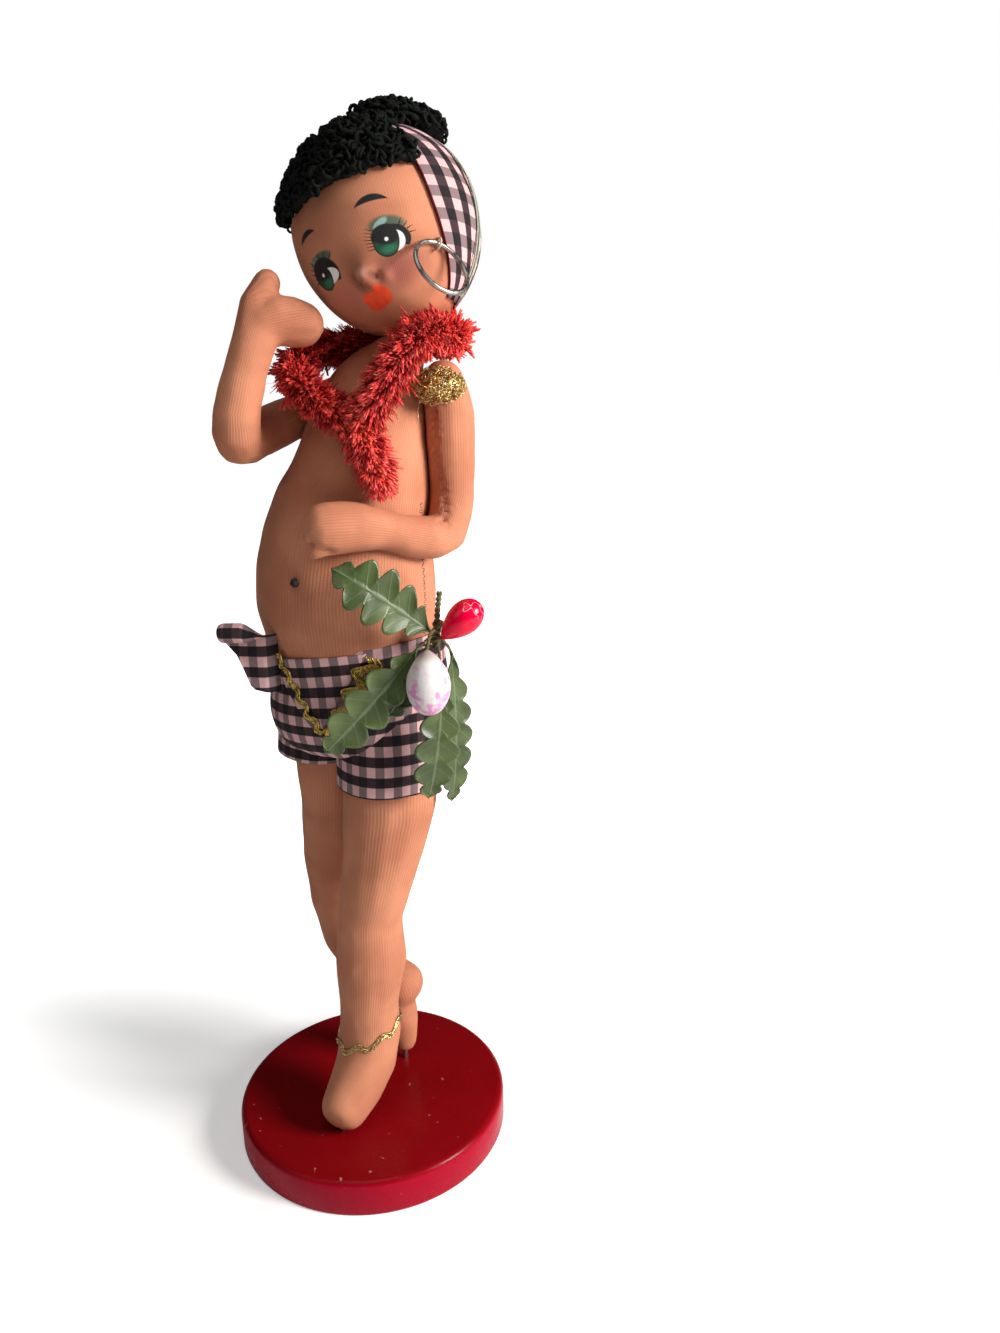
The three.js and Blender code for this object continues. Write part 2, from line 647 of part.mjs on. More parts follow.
// A length of the garland: a soft core with slips of straw standing out all round it
function garland(line, count, turn) {
  const middle = line.map(([x, y, z]) => [x, y, z, LEI_CORE_R]);
  const core = stuffed(middle, { sides: 6, steps: 1, across: [0.2, 0.9, 0.3] });
  const curve = new THREE.CatmullRomCurve3(line.map((p) => new THREE.Vector3(...p)));
  curve.curveType = 'catmullrom';
  const slips = [];
  for (let i = 0; i < count; i += 1) {
    const t = (i + 0.5) / count;
    const centre = curve.getPoint(t);
    const tangent = curve.getTangent(t);
    const side = new THREE.Vector3(0.2, 0.9, 0.3);
    side.addScaledVector(tangent, -side.dot(tangent)).normalize();
    const out = side.applyAxisAngle(tangent, turn + i * 2.39996);
    const lean = out.clone().addScaledVector(tangent, 0.3).normalize();
    const reach = LEI_CORE_R + LEI_REACH * (0.86 + 0.14 * Math.sin(i * 1.7));
    const root = LEI_CORE_R - 1.6;
    const slip = new THREE.ConeGeometry(1.5, reach - root, 3);
    slip.translate(0, (reach + root) / 2, 0);
    slip.applyQuaternion(new THREE.Quaternion().setFromUnitVectors(new THREE.Vector3(0, 1, 0), lean));
    slip.translate(centre.x, centre.y, centre.z);
    slips.push(solid(slip));
  }
  return wasm.Manifold.union([solid(core), ...slips]);
}
const LEI_FRONT = [21, -17.8, 268];
const LEI_RIGHT_END = [-6.4, -2, 289.6];
const LEI_LEFT_END = [37, 3.8, 295.4];
const LEI_BACK = [18, 25.6, 293];
const LEI_RUNS = {
  lei_right: {
    line: [LEI_FRONT, [10.6, -19, 273.6], [0.6, -17.4, 279.4], [-6, -11.4, 284.6], LEI_RIGHT_END],
    count: 72,
  },
  lei_left: {
    line: [
      [27.6, -18, 252.6], [24.4, -18.4, 261], LEI_FRONT,
      [27, -16, 276], [32, -12, 286], [34.8, -5.6, 293], LEI_LEFT_END,
    ],
    count: 130,
  },
  lei_back_right: { line: [LEI_RIGHT_END, [-3, 9, 291.4], [6, 19.6, 292.6], LEI_BACK], count: 49 },
  lei_back_left: { line: [LEI_BACK, [29, 23.4, 293.4], [36.6, 14.6, 294.6], LEI_LEFT_END], count: 49 },
};

// A half-space that starts a gap away from a point, looking the given way
function beyond(at, way, gap) {
  const side = 160;
  const slab = new THREE.BoxGeometry(side, side, side).translate(0, 0, side / 2 + gap);
  slab.applyQuaternion(new THREE.Quaternion().setFromUnitVectors(new THREE.Vector3(0, 0, 1), way));
  return solid(slab.translate(...at));
}

// The four runs of the garland, parted where they meet
function garlandRuns() {
  const left = new THREE.Vector3(1, 0, 0);
  const right = left.clone().negate();
  const back = new THREE.Vector3(0, 1, 0);
  const front = back.clone().negate();
  const up = new THREE.Vector3(-0.3, 0, 1).normalize();
  const half = CLEAR / 2;
  const parted = {
    lei_right: [[LEI_FRONT, up], [LEI_FRONT, right], [LEI_RIGHT_END, front]],
    lei_left: [[LEI_LEFT_END, front]],
    lei_back_right: [[LEI_RIGHT_END, back], [LEI_BACK, right]],
    lei_back_left: [[LEI_LEFT_END, back], [LEI_BACK, left]],
  };
  const rightRunSide = beyond(LEI_FRONT, up, -half).intersect(beyond(LEI_FRONT, right, -half));
  const seats = [
    torsoSolid(CLEAR),
    headSolid(SCARF_THICK + 1),
    ...swung(leftArmSolid(CLEAR), LEFT_SHOULDER, LEFT_SWING),
    ...swung(rightArmSolid(CLEAR), RIGHT_SHOULDER, -RIGHT_SWING),
  ];
  return Object.entries(LEI_RUNS).map(([name, { line, count }], turn) => {
    const kept = parted[name].reduce(
      (run, [at, way]) => run.intersect(beyond(at, way, half)), garland(line, count, turn),
    );
    const tools = name === 'lei_left' ? [rightRunSide, ...seats] : seats;
    return [name, whole(cut(kept, ...tools))];
  });
}

// The gold tinsel tuft on the left shoulder
const TINSEL = { at: [36, 6, 279], wide: 8.6, deep: 8.8, high: 5.8 };
function shoulderTinsel() {
  const tuft = solid(curlMass(TINSEL.wide, TINSEL.deep, TINSEL.high, 0.9, 12, 7).translate(...TINSEL.at));
  return whole(cut(tuft, torsoSolid(CLEAR), ...swung(leftArmSolid(CLEAR), LEFT_SHOULDER, LEFT_SWING)));
}

// A leaf with rounded lobes down both sides, arched along its length.
// It runs from its base to its tip, and its upper face looks the given way.
function leaf({ base, tip, look, wide, lobes = 4, arch = 3 }, grow = 0) {
  const from = new THREE.Vector3(...base);
  const along = new THREE.Vector3(...tip).sub(from);
  const length = along.length();
  along.normalize();
  const up = new THREE.Vector3(...look);
  up.addScaledVector(along, -up.dot(along)).normalize();
  const across = along.clone().cross(up);
  const steps = lobes * 4;
  const rings = [];
  const half = (t) => {
    const body = Math.sin(Math.PI * (0.1 + 0.78 * t));
    const lobe = 0.46 + 0.54 * Math.abs(Math.sin(Math.PI * lobes * t)) ** 0.7;
    const stalk = Math.min(1, 0.12 + 5 * t);
    const rounding = Math.sqrt(Math.max(0.02, 1 - ((t - 0.86) / 0.14) ** 2 * (t > 0.86)));
    return (wide / 2) * body * lobe * stalk * rounding + grow;
  };
  const rise = (t) => arch * Math.sin(Math.PI * t);
  for (let k = 0; k <= steps; k += 1) {
    const t = k / steps;
    const centre = from.clone().addScaledVector(along, t * length).addScaledVector(up, rise(t));
    const h = half(t);
    const thick = LEAF_THICK / 2 + grow;
    rings.push([[1, -0.5], [-1, -0.5], [-0.8, 0.5], [0, 1], [0.8, 0.5]].map(([a, u]) => centre.clone()
      .addScaledVector(across, a * h)
      .addScaledVector(up, 2 * u * thick)));
  }
  return skin(rings, from, from.clone().addScaledVector(along, length + 0.6));
}
const KNOT = { low: [39.2, -7.6, 199.4], high: [39.8, -7.4, 206.4], r: 1.5 };
const LEAVES = {
  leaf_upper: {
    base: [40.6, -13.6, 205.4], tip: [21, -34.6, 227.6], look: [0.6, -0.75, 0.3], wide: 19, arch: 1.6,
  },
  leaf_lower: {
    base: [36.4, -14.6, 199.4], tip: [13.6, -35.6, 168], look: [0.5, -0.85, -0.1], wide: 16, arch: 2.4,
  },
  leaf_middle: {
    base: [40.8, -7, 186], tip: [37.6, -12.6, 147.4], look: [0.7, -0.7, 0], wide: 15, arch: 2.4,
  },
  leaf_outer: {
    base: [38.6, 3.4, 194], tip: [36, 6.4, 138.6], look: [0.9, -0.4, 0], wide: 13, lobes: 5, arch: 2,
  },
  leaf_small: {
    base: [35, -10.6, 195.6], tip: [29.4, -22.4, 178.4], look: [0.6, -0.8, 0], wide: 12, lobes: 2, arch: 1,
  },
};

// A stem bent from round wire, along a few points
function stem(points, grow = 0) {
  return solid(stuffed(points.map((p) => [...p, STEM_R + grow]), { sides: 6, steps: 1 }));
}

// The point of the knot's side that is nearest to a stem, a clearance away from it
function knotSide(from, share) {
  const core = new THREE.Vector3(...KNOT.low).lerp(new THREE.Vector3(...KNOT.high), share);
  const out = new THREE.Vector3(...from).sub(core).normalize();
  return core.addScaledVector(out, KNOT.r + STEM_R + CLEAR).toArray();
}

// A leaf on its own short wire stem, which reaches the knot
function stemmedLeaf(shape, share, grow = 0) {
  const start = knotSide(shape.base, share);
  const into = new THREE.Vector3(...shape.base).lerp(new THREE.Vector3(...shape.tip), 0.08).toArray();
  return join(solid(leaf(shape, grow)), stem([start, shape.base, into], grow));
}

// The wires of the corsage: the pin in the waistband, the bound knot and its loose end
const PIN = [[29, -3, 198], [34, -4.6, 198], [38.6, -7.4, 198.6]];
const WIRE_TAIL = [[39.4, -6.6, 208], [39.4, -5, 216]];
const EGG_TOP = [EGG.at[0], EGG.at[1], EGG.at[2] + EGG.long / 2];
const BUD_LINE = [[43.6, -10.4, 202.8], [50.6, -7, 209]];
function corsageKnot(grow = 0) {
  const ends = [KNOT.low, KNOT.high].map((p) => [...p, KNOT.r + grow]);
  const bundle = stuffed(ends, { sides: 8, steps: 2, round: 0.5 });
  const wires = join(solid(bundle), stem([...PIN, KNOT.low], grow), stem([KNOT.high, ...WIRE_TAIL], grow));
  return whole(cut(wires, shortsForm(CLEAR)));
}
function eggStem(grow = 0) {
  const [x, y, z] = EGG_TOP;
  const bend = [x, y + 3, z + 4.4];
  return stem([knotSide(bend, 0.6), bend, [x, y + 1, z + 3], [x, y, z + STEM_R + CLEAR]], grow);
}
function budStem() {
  const tip = new THREE.Vector3(...BUD_LINE[0]);
  const way = new THREE.Vector3(...BUD_LINE[1]).sub(tip).normalize();
  const end = tip.addScaledVector(way, -STEM_R - CLEAR).toArray();
  return stem([knotSide(end, 0.5), end]);
}
const eggBerry = (grow = 0) => berry(
  [EGG_TOP[0], EGG_TOP[1], EGG_TOP[2] + grow], EGG.at, EGG.r + grow, EGG.long + 2 * grow, EGG.shape,
);

// The leaves, each clear of the knot, of the hanging fruit and of the leaves before it
function leaves() {
  const made = [];
  const last = Object.keys(LEAVES).length - 1;
  const taken = [corsageKnot(CLEAR), eggStem(CLEAR), solid(eggBerry(CLEAR))];
  Object.entries(LEAVES).forEach(([name, shape], i) => {
    const share = 0.9 - (0.8 * i) / last;
    made.push([name, whole(cut(stemmedLeaf(shape, share), ...taken, torsoSolid(CLEAR), shortsForm(CLEAR)))]);
    taken.push(stemmedLeaf(shape, share, CLEAR));
  });
  return made;
}

// A turned berry from its stem end: where it is fullest and how blunt its ends are shape its side
function berry(from, towards, radius, length, [fullest, blunt]) {
  const start = new THREE.Vector3(...from);
  const way = new THREE.Vector3(...towards).sub(start).normalize();
  const profile = Array.from({ length: 11 }, (_, i) => {
    const t = i / 10;
    return new THREE.Vector2(radius * Math.sin(Math.PI * t ** fullest) ** blunt, -length * t);
  });
  profile[0].x = 0;
  profile[10].x = 0;
  const geometry = new THREE.LatheGeometry(profile.reverse(), 12);
  geometry.applyQuaternion(new THREE.Quaternion().setFromUnitVectors(new THREE.Vector3(0, -1, 0), way));
  return geometry.translate(start.x, start.y, start.z);
}

// Materials
function finish(color, roughness, metalness = 0) {
  return new THREE.MeshStandardMaterial({ color, roughness, metalness });
}
const KNIT = finish(0xb9764f, 0.9);
const CLOTH_CHECK = finish(0x6d5558, 0.85);
const STRAW = finish(0xc23a2b, 0.7);
const GOLD = finish(0x9a7b1e, 0.4, 0.7);
const STEEL = finish(0x8d8a84, 0.4, 0.9);
const LACQUER = finish(0x8e0a1e, 0.2);
const YARN = finish(0x0b0c0b, 0.9);
const LEAF = finish(0x4f7a3a, 0.4);
const THREAD = finish(0xa88f7a, 0.8);

const doll = new THREE.Group();
function add(parent, name, shape, material) {
  const mesh = new THREE.Mesh(shape.getMesh ? geometryOf(shape) : shape, material.clone());
  mesh.name = name;
  parent.add(mesh);
  return mesh;
}

// Base and body
add(doll, 'base_disc', baseDisc(), LACQUER);
add(doll, 'torso', torso(), KNIT);
const leftLeg = leg(leftLegSolid(0), LEFT_LEG_WIRE);
const rightLeg = cut(leg(rightLegSolid(0), RIGHT_LEG_WIRE), leftLegSolid(CLEAR));
add(doll, 'left_leg', leftLeg, KNIT);
add(doll, 'right_leg', rightLeg, KNIT);
add(doll, 'left_arm', leftArm(), KNIT);
add(doll, 'right_arm', rightArm(), KNIT);
add(doll, 'navel', navelShape(0), YARN);

// Armature wires
add(doll, 'left_leg_wire', wire(LEFT_LEG_WIRE), STEEL);
add(doll, 'right_leg_wire', wire(RIGHT_LEG_WIRE), STEEL);
add(doll, 'spine_wire', wire(SPINE_WIRE), STEEL);
add(doll, 'left_arm_wire', solid(wire(LEFT_ARM_WIRE, 0, LEFT_ARM_PLANE)).intersect(leftArmSolid(0)), STEEL);
add(doll, 'right_arm_wire', solid(wire(RIGHT_ARM_WIRE)).intersect(rightArmSolid(0)), STEEL);

// Head, with all that turns with it
const headGroup = new THREE.Group();
headGroup.applyMatrix4(headFrame);
doll.add(headGroup);
add(headGroup, 'head', head(), KNIT);
add(headGroup, 'headscarf', scarfSolid(0), CLOTH_CHECK);
add(headGroup, 'hair_fringe', hairFringe(), YARN);
add(headGroup, 'hair_topknot', hairTopknot(), YARN);
add(doll, 'earring_hoop', ring(HOOP_AT, HOOP_NORMAL, HOOP_R, HOOP_WIRE_R, 5, 30), STEEL);
add(doll, 'earring_stitch', earringStitch(), THREAD);

// Clothes and trims
add(doll, 'shorts', shorts(), CLOTH_CHECK);
add(doll, 'wrap_panel', wrapPanel(), CLOTH_CHECK);
add(doll, 'hip_flare', hipFlare(), CLOTH_CHECK);
add(doll, 'ricrac_right', ricrac(WRAP_LEFT, [WRAP_LOW[0] - 3, WRAP_LOW[1] + 3], 3.2, 5), GOLD);
add(doll, 'ricrac_left', ricrac(WRAP_RIGHT, [WRAP_LOW[0] + 1, WRAP_LOW[1] - 1], 6, 4), GOLD);
add(doll, 'anklet', anklet(), GOLD);
add(doll, 'shoulder_tinsel', shoulderTinsel(), GOLD);

// Garland
garlandRuns().forEach(([name, shape]) => add(doll, name, shape, STRAW));

// Corsage
leaves().forEach(([name, shape]) => add(doll, name, shape, LEAF));
add(doll, 'corsage_knot', corsageKnot(), STEEL);
add(doll, 'egg_stem', eggStem(), STEEL);
add(doll, 'bud_stem', budStem(), STEEL);
add(doll, 'egg_fruit', eggBerry(), finish(0xe8e0e2, 0.5));
add(doll, 'bud_fruit', berry(...BUD_LINE, BUD.r, BUD.long, BUD.shape), finish(0xc4102c, 0.15));

export default doll;
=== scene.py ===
# A stockinette pose doll dressed as a hula dancer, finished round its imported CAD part.
# Metres, +Z up. The doll's body faces -Y, and her left side is +X.
import math
import random

import bmesh
import bpy
from mathutils import Matrix, Vector, noise
from mathutils.bvhtree import BVHTree


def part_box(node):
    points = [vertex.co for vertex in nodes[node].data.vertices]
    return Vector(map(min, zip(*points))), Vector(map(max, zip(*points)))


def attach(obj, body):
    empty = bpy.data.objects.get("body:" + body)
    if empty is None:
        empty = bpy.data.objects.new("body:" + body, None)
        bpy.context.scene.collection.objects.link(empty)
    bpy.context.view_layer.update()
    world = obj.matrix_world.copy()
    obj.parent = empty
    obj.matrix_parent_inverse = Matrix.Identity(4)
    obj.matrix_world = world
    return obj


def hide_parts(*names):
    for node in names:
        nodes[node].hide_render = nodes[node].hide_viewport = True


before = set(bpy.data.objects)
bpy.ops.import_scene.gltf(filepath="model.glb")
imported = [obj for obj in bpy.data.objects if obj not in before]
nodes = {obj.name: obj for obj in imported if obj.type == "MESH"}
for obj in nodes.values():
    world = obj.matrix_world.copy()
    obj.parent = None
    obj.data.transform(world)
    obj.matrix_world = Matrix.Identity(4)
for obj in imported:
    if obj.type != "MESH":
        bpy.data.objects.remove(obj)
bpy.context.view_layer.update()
MM = 0.001


# Camera: the photograph's own place, ahead of the doll, to her left and a little above.
# Its picture is taller than wide, so the sensor's 36 mm runs along its height.
SENSOR = 36.0
PHOTO_WIDE, PHOTO_HIGH = 1000, 1333
PITCH, ROLL = math.radians(16.19), math.radians(-0.90)
CAMERA_AT, HEADING = (0.1932, -0.2769, 0.2817), (-0.438, 0.899, 0)
camera_data = bpy.data.cameras.new("camera")
camera_data.sensor_width = SENSOR
camera_data.lens = SENSOR * PHOTO_WIDE / PHOTO_HIGH
camera_data.clip_start = 0.02
camera = bpy.data.objects.new("camera", camera_data)
bpy.context.scene.collection.objects.link(camera)
ahead = Vector(HEADING).normalized() * math.cos(PITCH) - Vector((0, 0, math.sin(PITCH)))
level = ahead.cross(Vector((0, 0, 1))).normalized()
below = ahead.cross(level)
right = level * math.cos(ROLL) - below * math.sin(ROLL)
down = level * math.sin(ROLL) + below * math.cos(ROLL)
camera.matrix_world = Matrix.Translation(CAMERA_AT) @ Matrix((right, -down, -ahead)).transposed().to_4x4()
bpy.context.scene.camera = camera


# Studio: a pale floor that meets a white surround, one soft lamp on the doll's left, and
# weak ones overhead and on her right, as the light falls in the photograph.
class Net:
    """A shader node tree, filled by short calls that each give back a socket."""

    def __init__(self, tree):
        self.tree = tree

    def node(self, kind, **settings):
        made = self.tree.nodes.new(kind)
        for key, value in settings.items():
            setattr(made, key, value)
        return made

    def put(self, socket, value):
        if isinstance(value, bpy.types.NodeSocket):
            self.tree.links.new(value, socket)
        elif value is not None:
            if socket.type == "RGBA" and len(value) == 3:
                value = (*value, 1.0)
            socket.default_value = value

    def math(self, operation, *values, clamp=False):
        made = self.node("ShaderNodeMath", operation=operation, use_clamp=clamp)
        for socket, value in zip(made.inputs, values):
            self.put(socket, value)
        return made.outputs[0]

    def mix(self, factor, a, b, blend="MIX"):
        made = self.node("ShaderNodeMix", data_type="RGBA", blend_type=blend)
        self.put(made.inputs[0], factor)
        self.put(made.inputs[6], a)
        self.put(made.inputs[7], b)
        return made.outputs[2]

    def span(self, value, low, high, to_low=0.0, to_high=1.0):
        made = self.node("ShaderNodeMapRange", interpolation_type="SMOOTHSTEP")
        for socket, given in zip(made.inputs, (value, low, high, to_low, to_high)):
            self.put(socket, given)
        return made.outputs[0]

    def noise(self, vector, scale, detail=2.0, stretch=(1, 1, 1)):
        if stretch != (1, 1, 1):
            mapping = self.node("ShaderNodeMapping")
            self.put(mapping.inputs["Vector"], vector)
            mapping.inputs["Scale"].default_value = stretch
            vector = mapping.outputs[0]
        made = self.node("ShaderNodeTexNoise")
        self.put(made.inputs["Vector"], vector)
        made.inputs["Scale"].default_value = scale
        made.inputs["Detail"].default_value = detail
        return made.outputs["Fac"]

    def place(self):
        return self.node("ShaderNodeTexCoord").outputs["Object"]

    def wrap(self, name="wrap"):
        return self.node("ShaderNodeUVMap", uv_map=name).outputs[0]

    def use(self, group, **values):
        made = self.node("ShaderNodeGroup", node_tree=group)
        for key, value in values.items():
            self.put(made.inputs[key.replace("_", " ")], value)
        return made.outputs

    def vector(self, operation, *values):
        made = self.node("ShaderNodeVectorMath", operation=operation)
        for socket, value in zip(made.inputs, values):
            self.put(socket, value)
        return made.outputs["Value" if operation in ("LENGTH", "DISTANCE", "DOT_PRODUCT") else "Vector"]

    def axes(self, vector):
        made = self.node("ShaderNodeSeparateXYZ")
        self.put(made.inputs[0], vector)
        return made.outputs

    def cover(self, shader, colour, height=None, depth=0.0, strength=1.0):
        """Joins a colour to a shader, and a relief of a given depth where there is one."""
        self.put(shader.inputs["Base Color"], colour)
        if height is not None:
            bump = self.node("ShaderNodeBump")
            bump.inputs["Strength"].default_value = strength
            bump.inputs["Distance"].default_value = depth
            self.put(bump.inputs["Height"], height)
            self.put(shader.inputs["Normal"], bump.outputs[0])


def material(name, roughness=0.5, **sockets):
    """A new Principled material, its net and its shader."""
    made = bpy.data.materials.new(name)
    made.use_nodes = True
    net = Net(made.node_tree)
    shader = made.node_tree.nodes["Principled BSDF"]
    net.put(shader.inputs["Roughness"], roughness)
    for key, value in sockets.items():
        net.put(shader.inputs[key.replace("_", " ")], value)
    return made, net, shader


def as_mesh(shape, name):
    """A mesh made of a bmesh, which is freed."""
    mesh = bpy.data.meshes.new(name)
    shape.to_mesh(mesh)
    shape.free()
    return mesh


def lamp(name, place, aim, size, watts, tint=(1, 1, 1)):
    data = bpy.data.lights.new(name, "AREA")
    data.shape = "DISK"
    data.size = size
    data.energy = watts
    data.color = tint
    made = bpy.data.objects.new(name, data)
    made.location = place
    made.rotation_euler = (Vector(aim) - Vector(place)).to_track_quat("-Z", "Y").to_euler()
    bpy.context.scene.collection.objects.link(made)


lamp("window", (1.02, 0.08, 0.6), (0, 0, 0.2), 0.45, 19.0, (1.0, 0.97, 0.94))
lamp("overhead", (0.1, -0.4, 1.2), (0, 0, 0.2), 0.8, 2.4)
lamp("side_fill", (-0.5, -0.9, 0.95), (0, 0, 0.3), 0.8, 1.1, (1.0, 0.96, 0.92))

AMBIENT = 0.04
world = bpy.data.worlds.new("surround")
bpy.context.scene.world = world
world.use_nodes = True
net = Net(world.node_tree)
rays = net.node("ShaderNodeLightPath")
background = world.node_tree.nodes["Background"]
background.inputs["Color"].default_value = (1, 1, 1, 1)
seen = net.math("MULTIPLY_ADD", rays.outputs["Is Camera Ray"], 1 - AMBIENT, AMBIENT)
net.put(background.inputs["Strength"], seen)

floor_shape = bmesh.new()
bmesh.ops.create_grid(floor_shape, x_segments=1, y_segments=1, size=6.0)
floor = bpy.data.objects.new("floor", as_mesh(floor_shape, "floor"))
bpy.context.scene.collection.objects.link(floor)
floor_paint, net, shader = material("floor_paint", 0.9, Base_Color=(0.92, 0.92, 0.92))
rays = net.node("ShaderNodeLightPath")
net.put(shader.inputs["Emission Color"], (1, 1, 1))
glow = net.span(net.vector("LENGTH", net.place()), 0.07, 0.3, 0.35, 1.1)
net.put(shader.inputs["Emission Strength"], net.math("MULTIPLY", rays.outputs["Is Camera Ray"], glow))
floor.data.materials.append(floor_paint)


# Base: a turned wooden disc under many coats of red lacquer, its top painted darker as painted
# shade and its side brighter as painted light, with a few pale chips and scratches along its edges.
def finished(name, shape, body, paint, slot, *replaced):
    """Makes a named piece of a bmesh or mesh, which rides on a CAD body for the nodes it stands for."""
    mesh = as_mesh(shape, name) if isinstance(shape, bmesh.types.BMesh) else shape
    mesh.name = name
    mesh.materials.clear()
    mesh.materials.append(paint)
    for face in mesh.polygons:
        face.use_smooth = True
    made = bpy.data.objects.new(name, mesh)
    bpy.context.scene.collection.objects.link(made)
    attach(made, body)
    if replaced:
        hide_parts(*replaced)
    return made


def spun(shape, outline, steps):
    """Spins an outline once round Z and closes the shape that it makes."""
    bmesh.ops.spin(shape, geom=outline, axis=(0, 0, 1), cent=(0, 0, 0),
                   angle=2 * math.pi, steps=steps, use_merge=True)
    bmesh.ops.remove_doubles(shape, verts=shape.verts, dist=0.01 * MM)
    bmesh.ops.recalc_face_normals(shape, faces=shape.faces)
    return shape


def turned(outline, steps):
    """A closed shape spun about Z from an outline of radius and height that starts and ends on the axis."""
    shape = bmesh.new()
    corners = [shape.verts.new((radius, 0, height)) for radius, height in outline]
    edges = [shape.edges.new(pair) for pair in zip(corners, corners[1:])]
    return spun(shape, corners + edges, steps)


_, BASE_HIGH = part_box("base_disc")
BASE_R, BASE_TOP = BASE_HIGH[0], BASE_HIGH[2]
BASE_EDGE = 2.6 * MM
base_outline = [(0, 0), (BASE_R - 1.2 * MM, 0), (BASE_R - 0.3 * MM, 0.3 * MM), (BASE_R, 1.1 * MM)]
for degrees in range(0, 91, 15):
    angle = math.radians(degrees)
    base_outline.append((BASE_R - BASE_EDGE + BASE_EDGE * math.cos(angle),
                         BASE_TOP - BASE_EDGE + BASE_EDGE * math.sin(angle)))
base_outline += [(BASE_R * 0.6, BASE_TOP), (0, BASE_TOP)]
lacquer, net, shader = material("red_lacquer", 0.3, Coat_Weight=0.05, Coat_Roughness=0.1)
shader.inputs["Specular IOR Level"].default_value = 0.08
place = net.place()
height = net.axes(place)["Z"]
on_top = net.span(height, BASE_TOP - 2.2 * MM, BASE_TOP - 0.3 * MM)
cloudy = net.noise(place, 35, 4)
# The top's red is painted dark as painted shade and the side's red bright as painted light, each clouded at
# random.
shaded_top_red = net.mix(cloudy, (0.17, 0.0015, 0.003), (0.25, 0.003, 0.006))
lit_side_red = net.mix(cloudy, (0.33, 0.001, 0.014), (0.42, 0.002, 0.024))
coat = net.mix(on_top, lit_side_red, shaded_top_red)
flecks = net.noise(place, 420, 1, (1, 1, 0.4))
edge_band = net.span(height, 0.4 * MM, 5 * MM, 1.0, 0.35)
chips = net.math("MULTIPLY", net.span(flecks, 0.765, 0.79), edge_band)
coat = net.mix(chips, coat, (0.72, 0.42, 0.42))
net.cover(shader, coat, net.noise(place, 240, 2), 0.05 * MM, 0.5)
net.put(shader.inputs["Roughness"], net.span(net.noise(place, 90, 3), 0.3, 0.7, 0.2, 0.38))
finished("base_turned", turned(base_outline, 160), "root", lacquer, "lacquered_wood", "base_disc")


# Skin: a fine ribbed nylon knit drawn tight over the stuffing. Its ribs run down each piece,
# so each piece carries a map that goes round and along the line that it was sewn on.
def group(name, inputs, outputs):
    """A new shader node group with its sockets, and the nodes that stand for its ends."""
    tree = bpy.data.node_groups.new(name, "ShaderNodeTree")
    for sockets, way in ((inputs, "INPUT"), (outputs, "OUTPUT")):
        for label, kind in sockets.items():
            tree.interface.new_socket(label, in_out=way, socket_type="NodeSocket" + kind)
    made = Net(tree)
    return made, made.node("NodeGroupInput").outputs, made.node("NodeGroupOutput").inputs


knit, given, result = group(
    "knit", {"Map": "Vector", "Rib": "Float", "Row": "Float"}, {"Height": "Float", "Pit_shade": "Float"})
axes = knit.axes(given["Map"])
around = knit.math("DIVIDE", axes["X"], given["Rib"])
along = knit.math("DIVIDE", axes["Y"], given["Row"])
wave = knit.math("COSINE", knit.math("MULTIPLY", around, 2 * math.pi))
slant = knit.math("ADD", along, knit.math("MULTIPLY", wave, 0.22))
loops = knit.math("COSINE", knit.math("MULTIPLY", slant, 2 * math.pi))
ribbed = knit.math("MULTIPLY_ADD", wave, 0.4, knit.math("MULTIPLY_ADD", loops, 0.08, 0.5))
knit.put(result["Height"], ribbed)
# Where the knit sinks between ribs and rows, which the skins paint darker as painted shade.
knit.put(result["Pit_shade"], knit.span(ribbed, 0.02, 0.5, 1.0, 0.0))
knit_group = knit.tree


def skin_material(name, rib, row, relief=0.3):
    """The knit skin, with ribs and rows of the given widths, standing out by the given strength."""
    made, net, shader = material(name, 0.82, Sheen_Weight=0.05, Sheen_Roughness=0.45)
    shader.inputs["Sheen Tint"].default_value = (1.0, 0.6, 0.42, 1)
    stitch = net.use(knit_group, Map=net.wrap(), Rib=rib, Row=row)
    dull, warm = (0.46, 0.152, 0.074), (0.6, 0.228, 0.12)
    tint = net.mix(net.span(net.noise(net.place(), 55, 3), 0.3, 0.7), dull, warm)
    fibre = net.noise(net.wrap(), 1500, 2, (1, 0.12, 1))
    tint = net.mix(net.math("MULTIPLY", fibre, 0.16), tint, (0.72, 0.36, 0.22))
    # The pits of the knit are painted darker, as painted shade.
    tint = net.mix(net.math("MULTIPLY", stitch["Pit_shade"], 0.8 * relief), tint, (0.2, 0.072, 0.036))
    rough = net.math("MULTIPLY_ADD", stitch["Height"], 0.14, net.math("MULTIPLY", fibre, 0.1))
    net.cover(shader, tint, rough, 1.2 * MM, relief)
    return made, net, shader, tint


def sculpt(mesh, move):
    """Moves each vertex by what a function of its place and normal gives."""
    normals = [vertex.normal.copy() for vertex in mesh.vertices]
    for vertex, normal in zip(mesh.vertices, normals):
        vertex.co += move(vertex.co.copy(), normal)
    mesh.update()


def solid_copy(node):
    """A copy of a CAD solid whose corners are joined."""
    shape = bmesh.new()
    shape.from_mesh(nodes[node].data)
    bmesh.ops.remove_doubles(shape, verts=shape.verts, dist=0.001 * MM)
    return as_mesh(shape, node)


def soft_copy(node, grain, rounds, swell=0.0):
    """A fine, smoothed copy of a CAD solid, for a stuffed piece."""
    copy = bpy.data.objects.new("copy", solid_copy(node))
    bpy.context.scene.collection.objects.link(copy)
    remesh = copy.modifiers.new("fine", "REMESH")
    remesh.mode = "VOXEL"
    remesh.voxel_size = grain
    smooth = copy.modifiers.new("smooth", "SMOOTH")
    smooth.factor = 0.5
    smooth.iterations = rounds
    mesh = bpy.data.meshes.new_from_object(copy.evaluated_get(bpy.context.evaluated_depsgraph_get()))
    bpy.data.objects.remove(copy)
    if swell:
        sculpt(mesh, lambda place, normal: normal * swell)
    return mesh


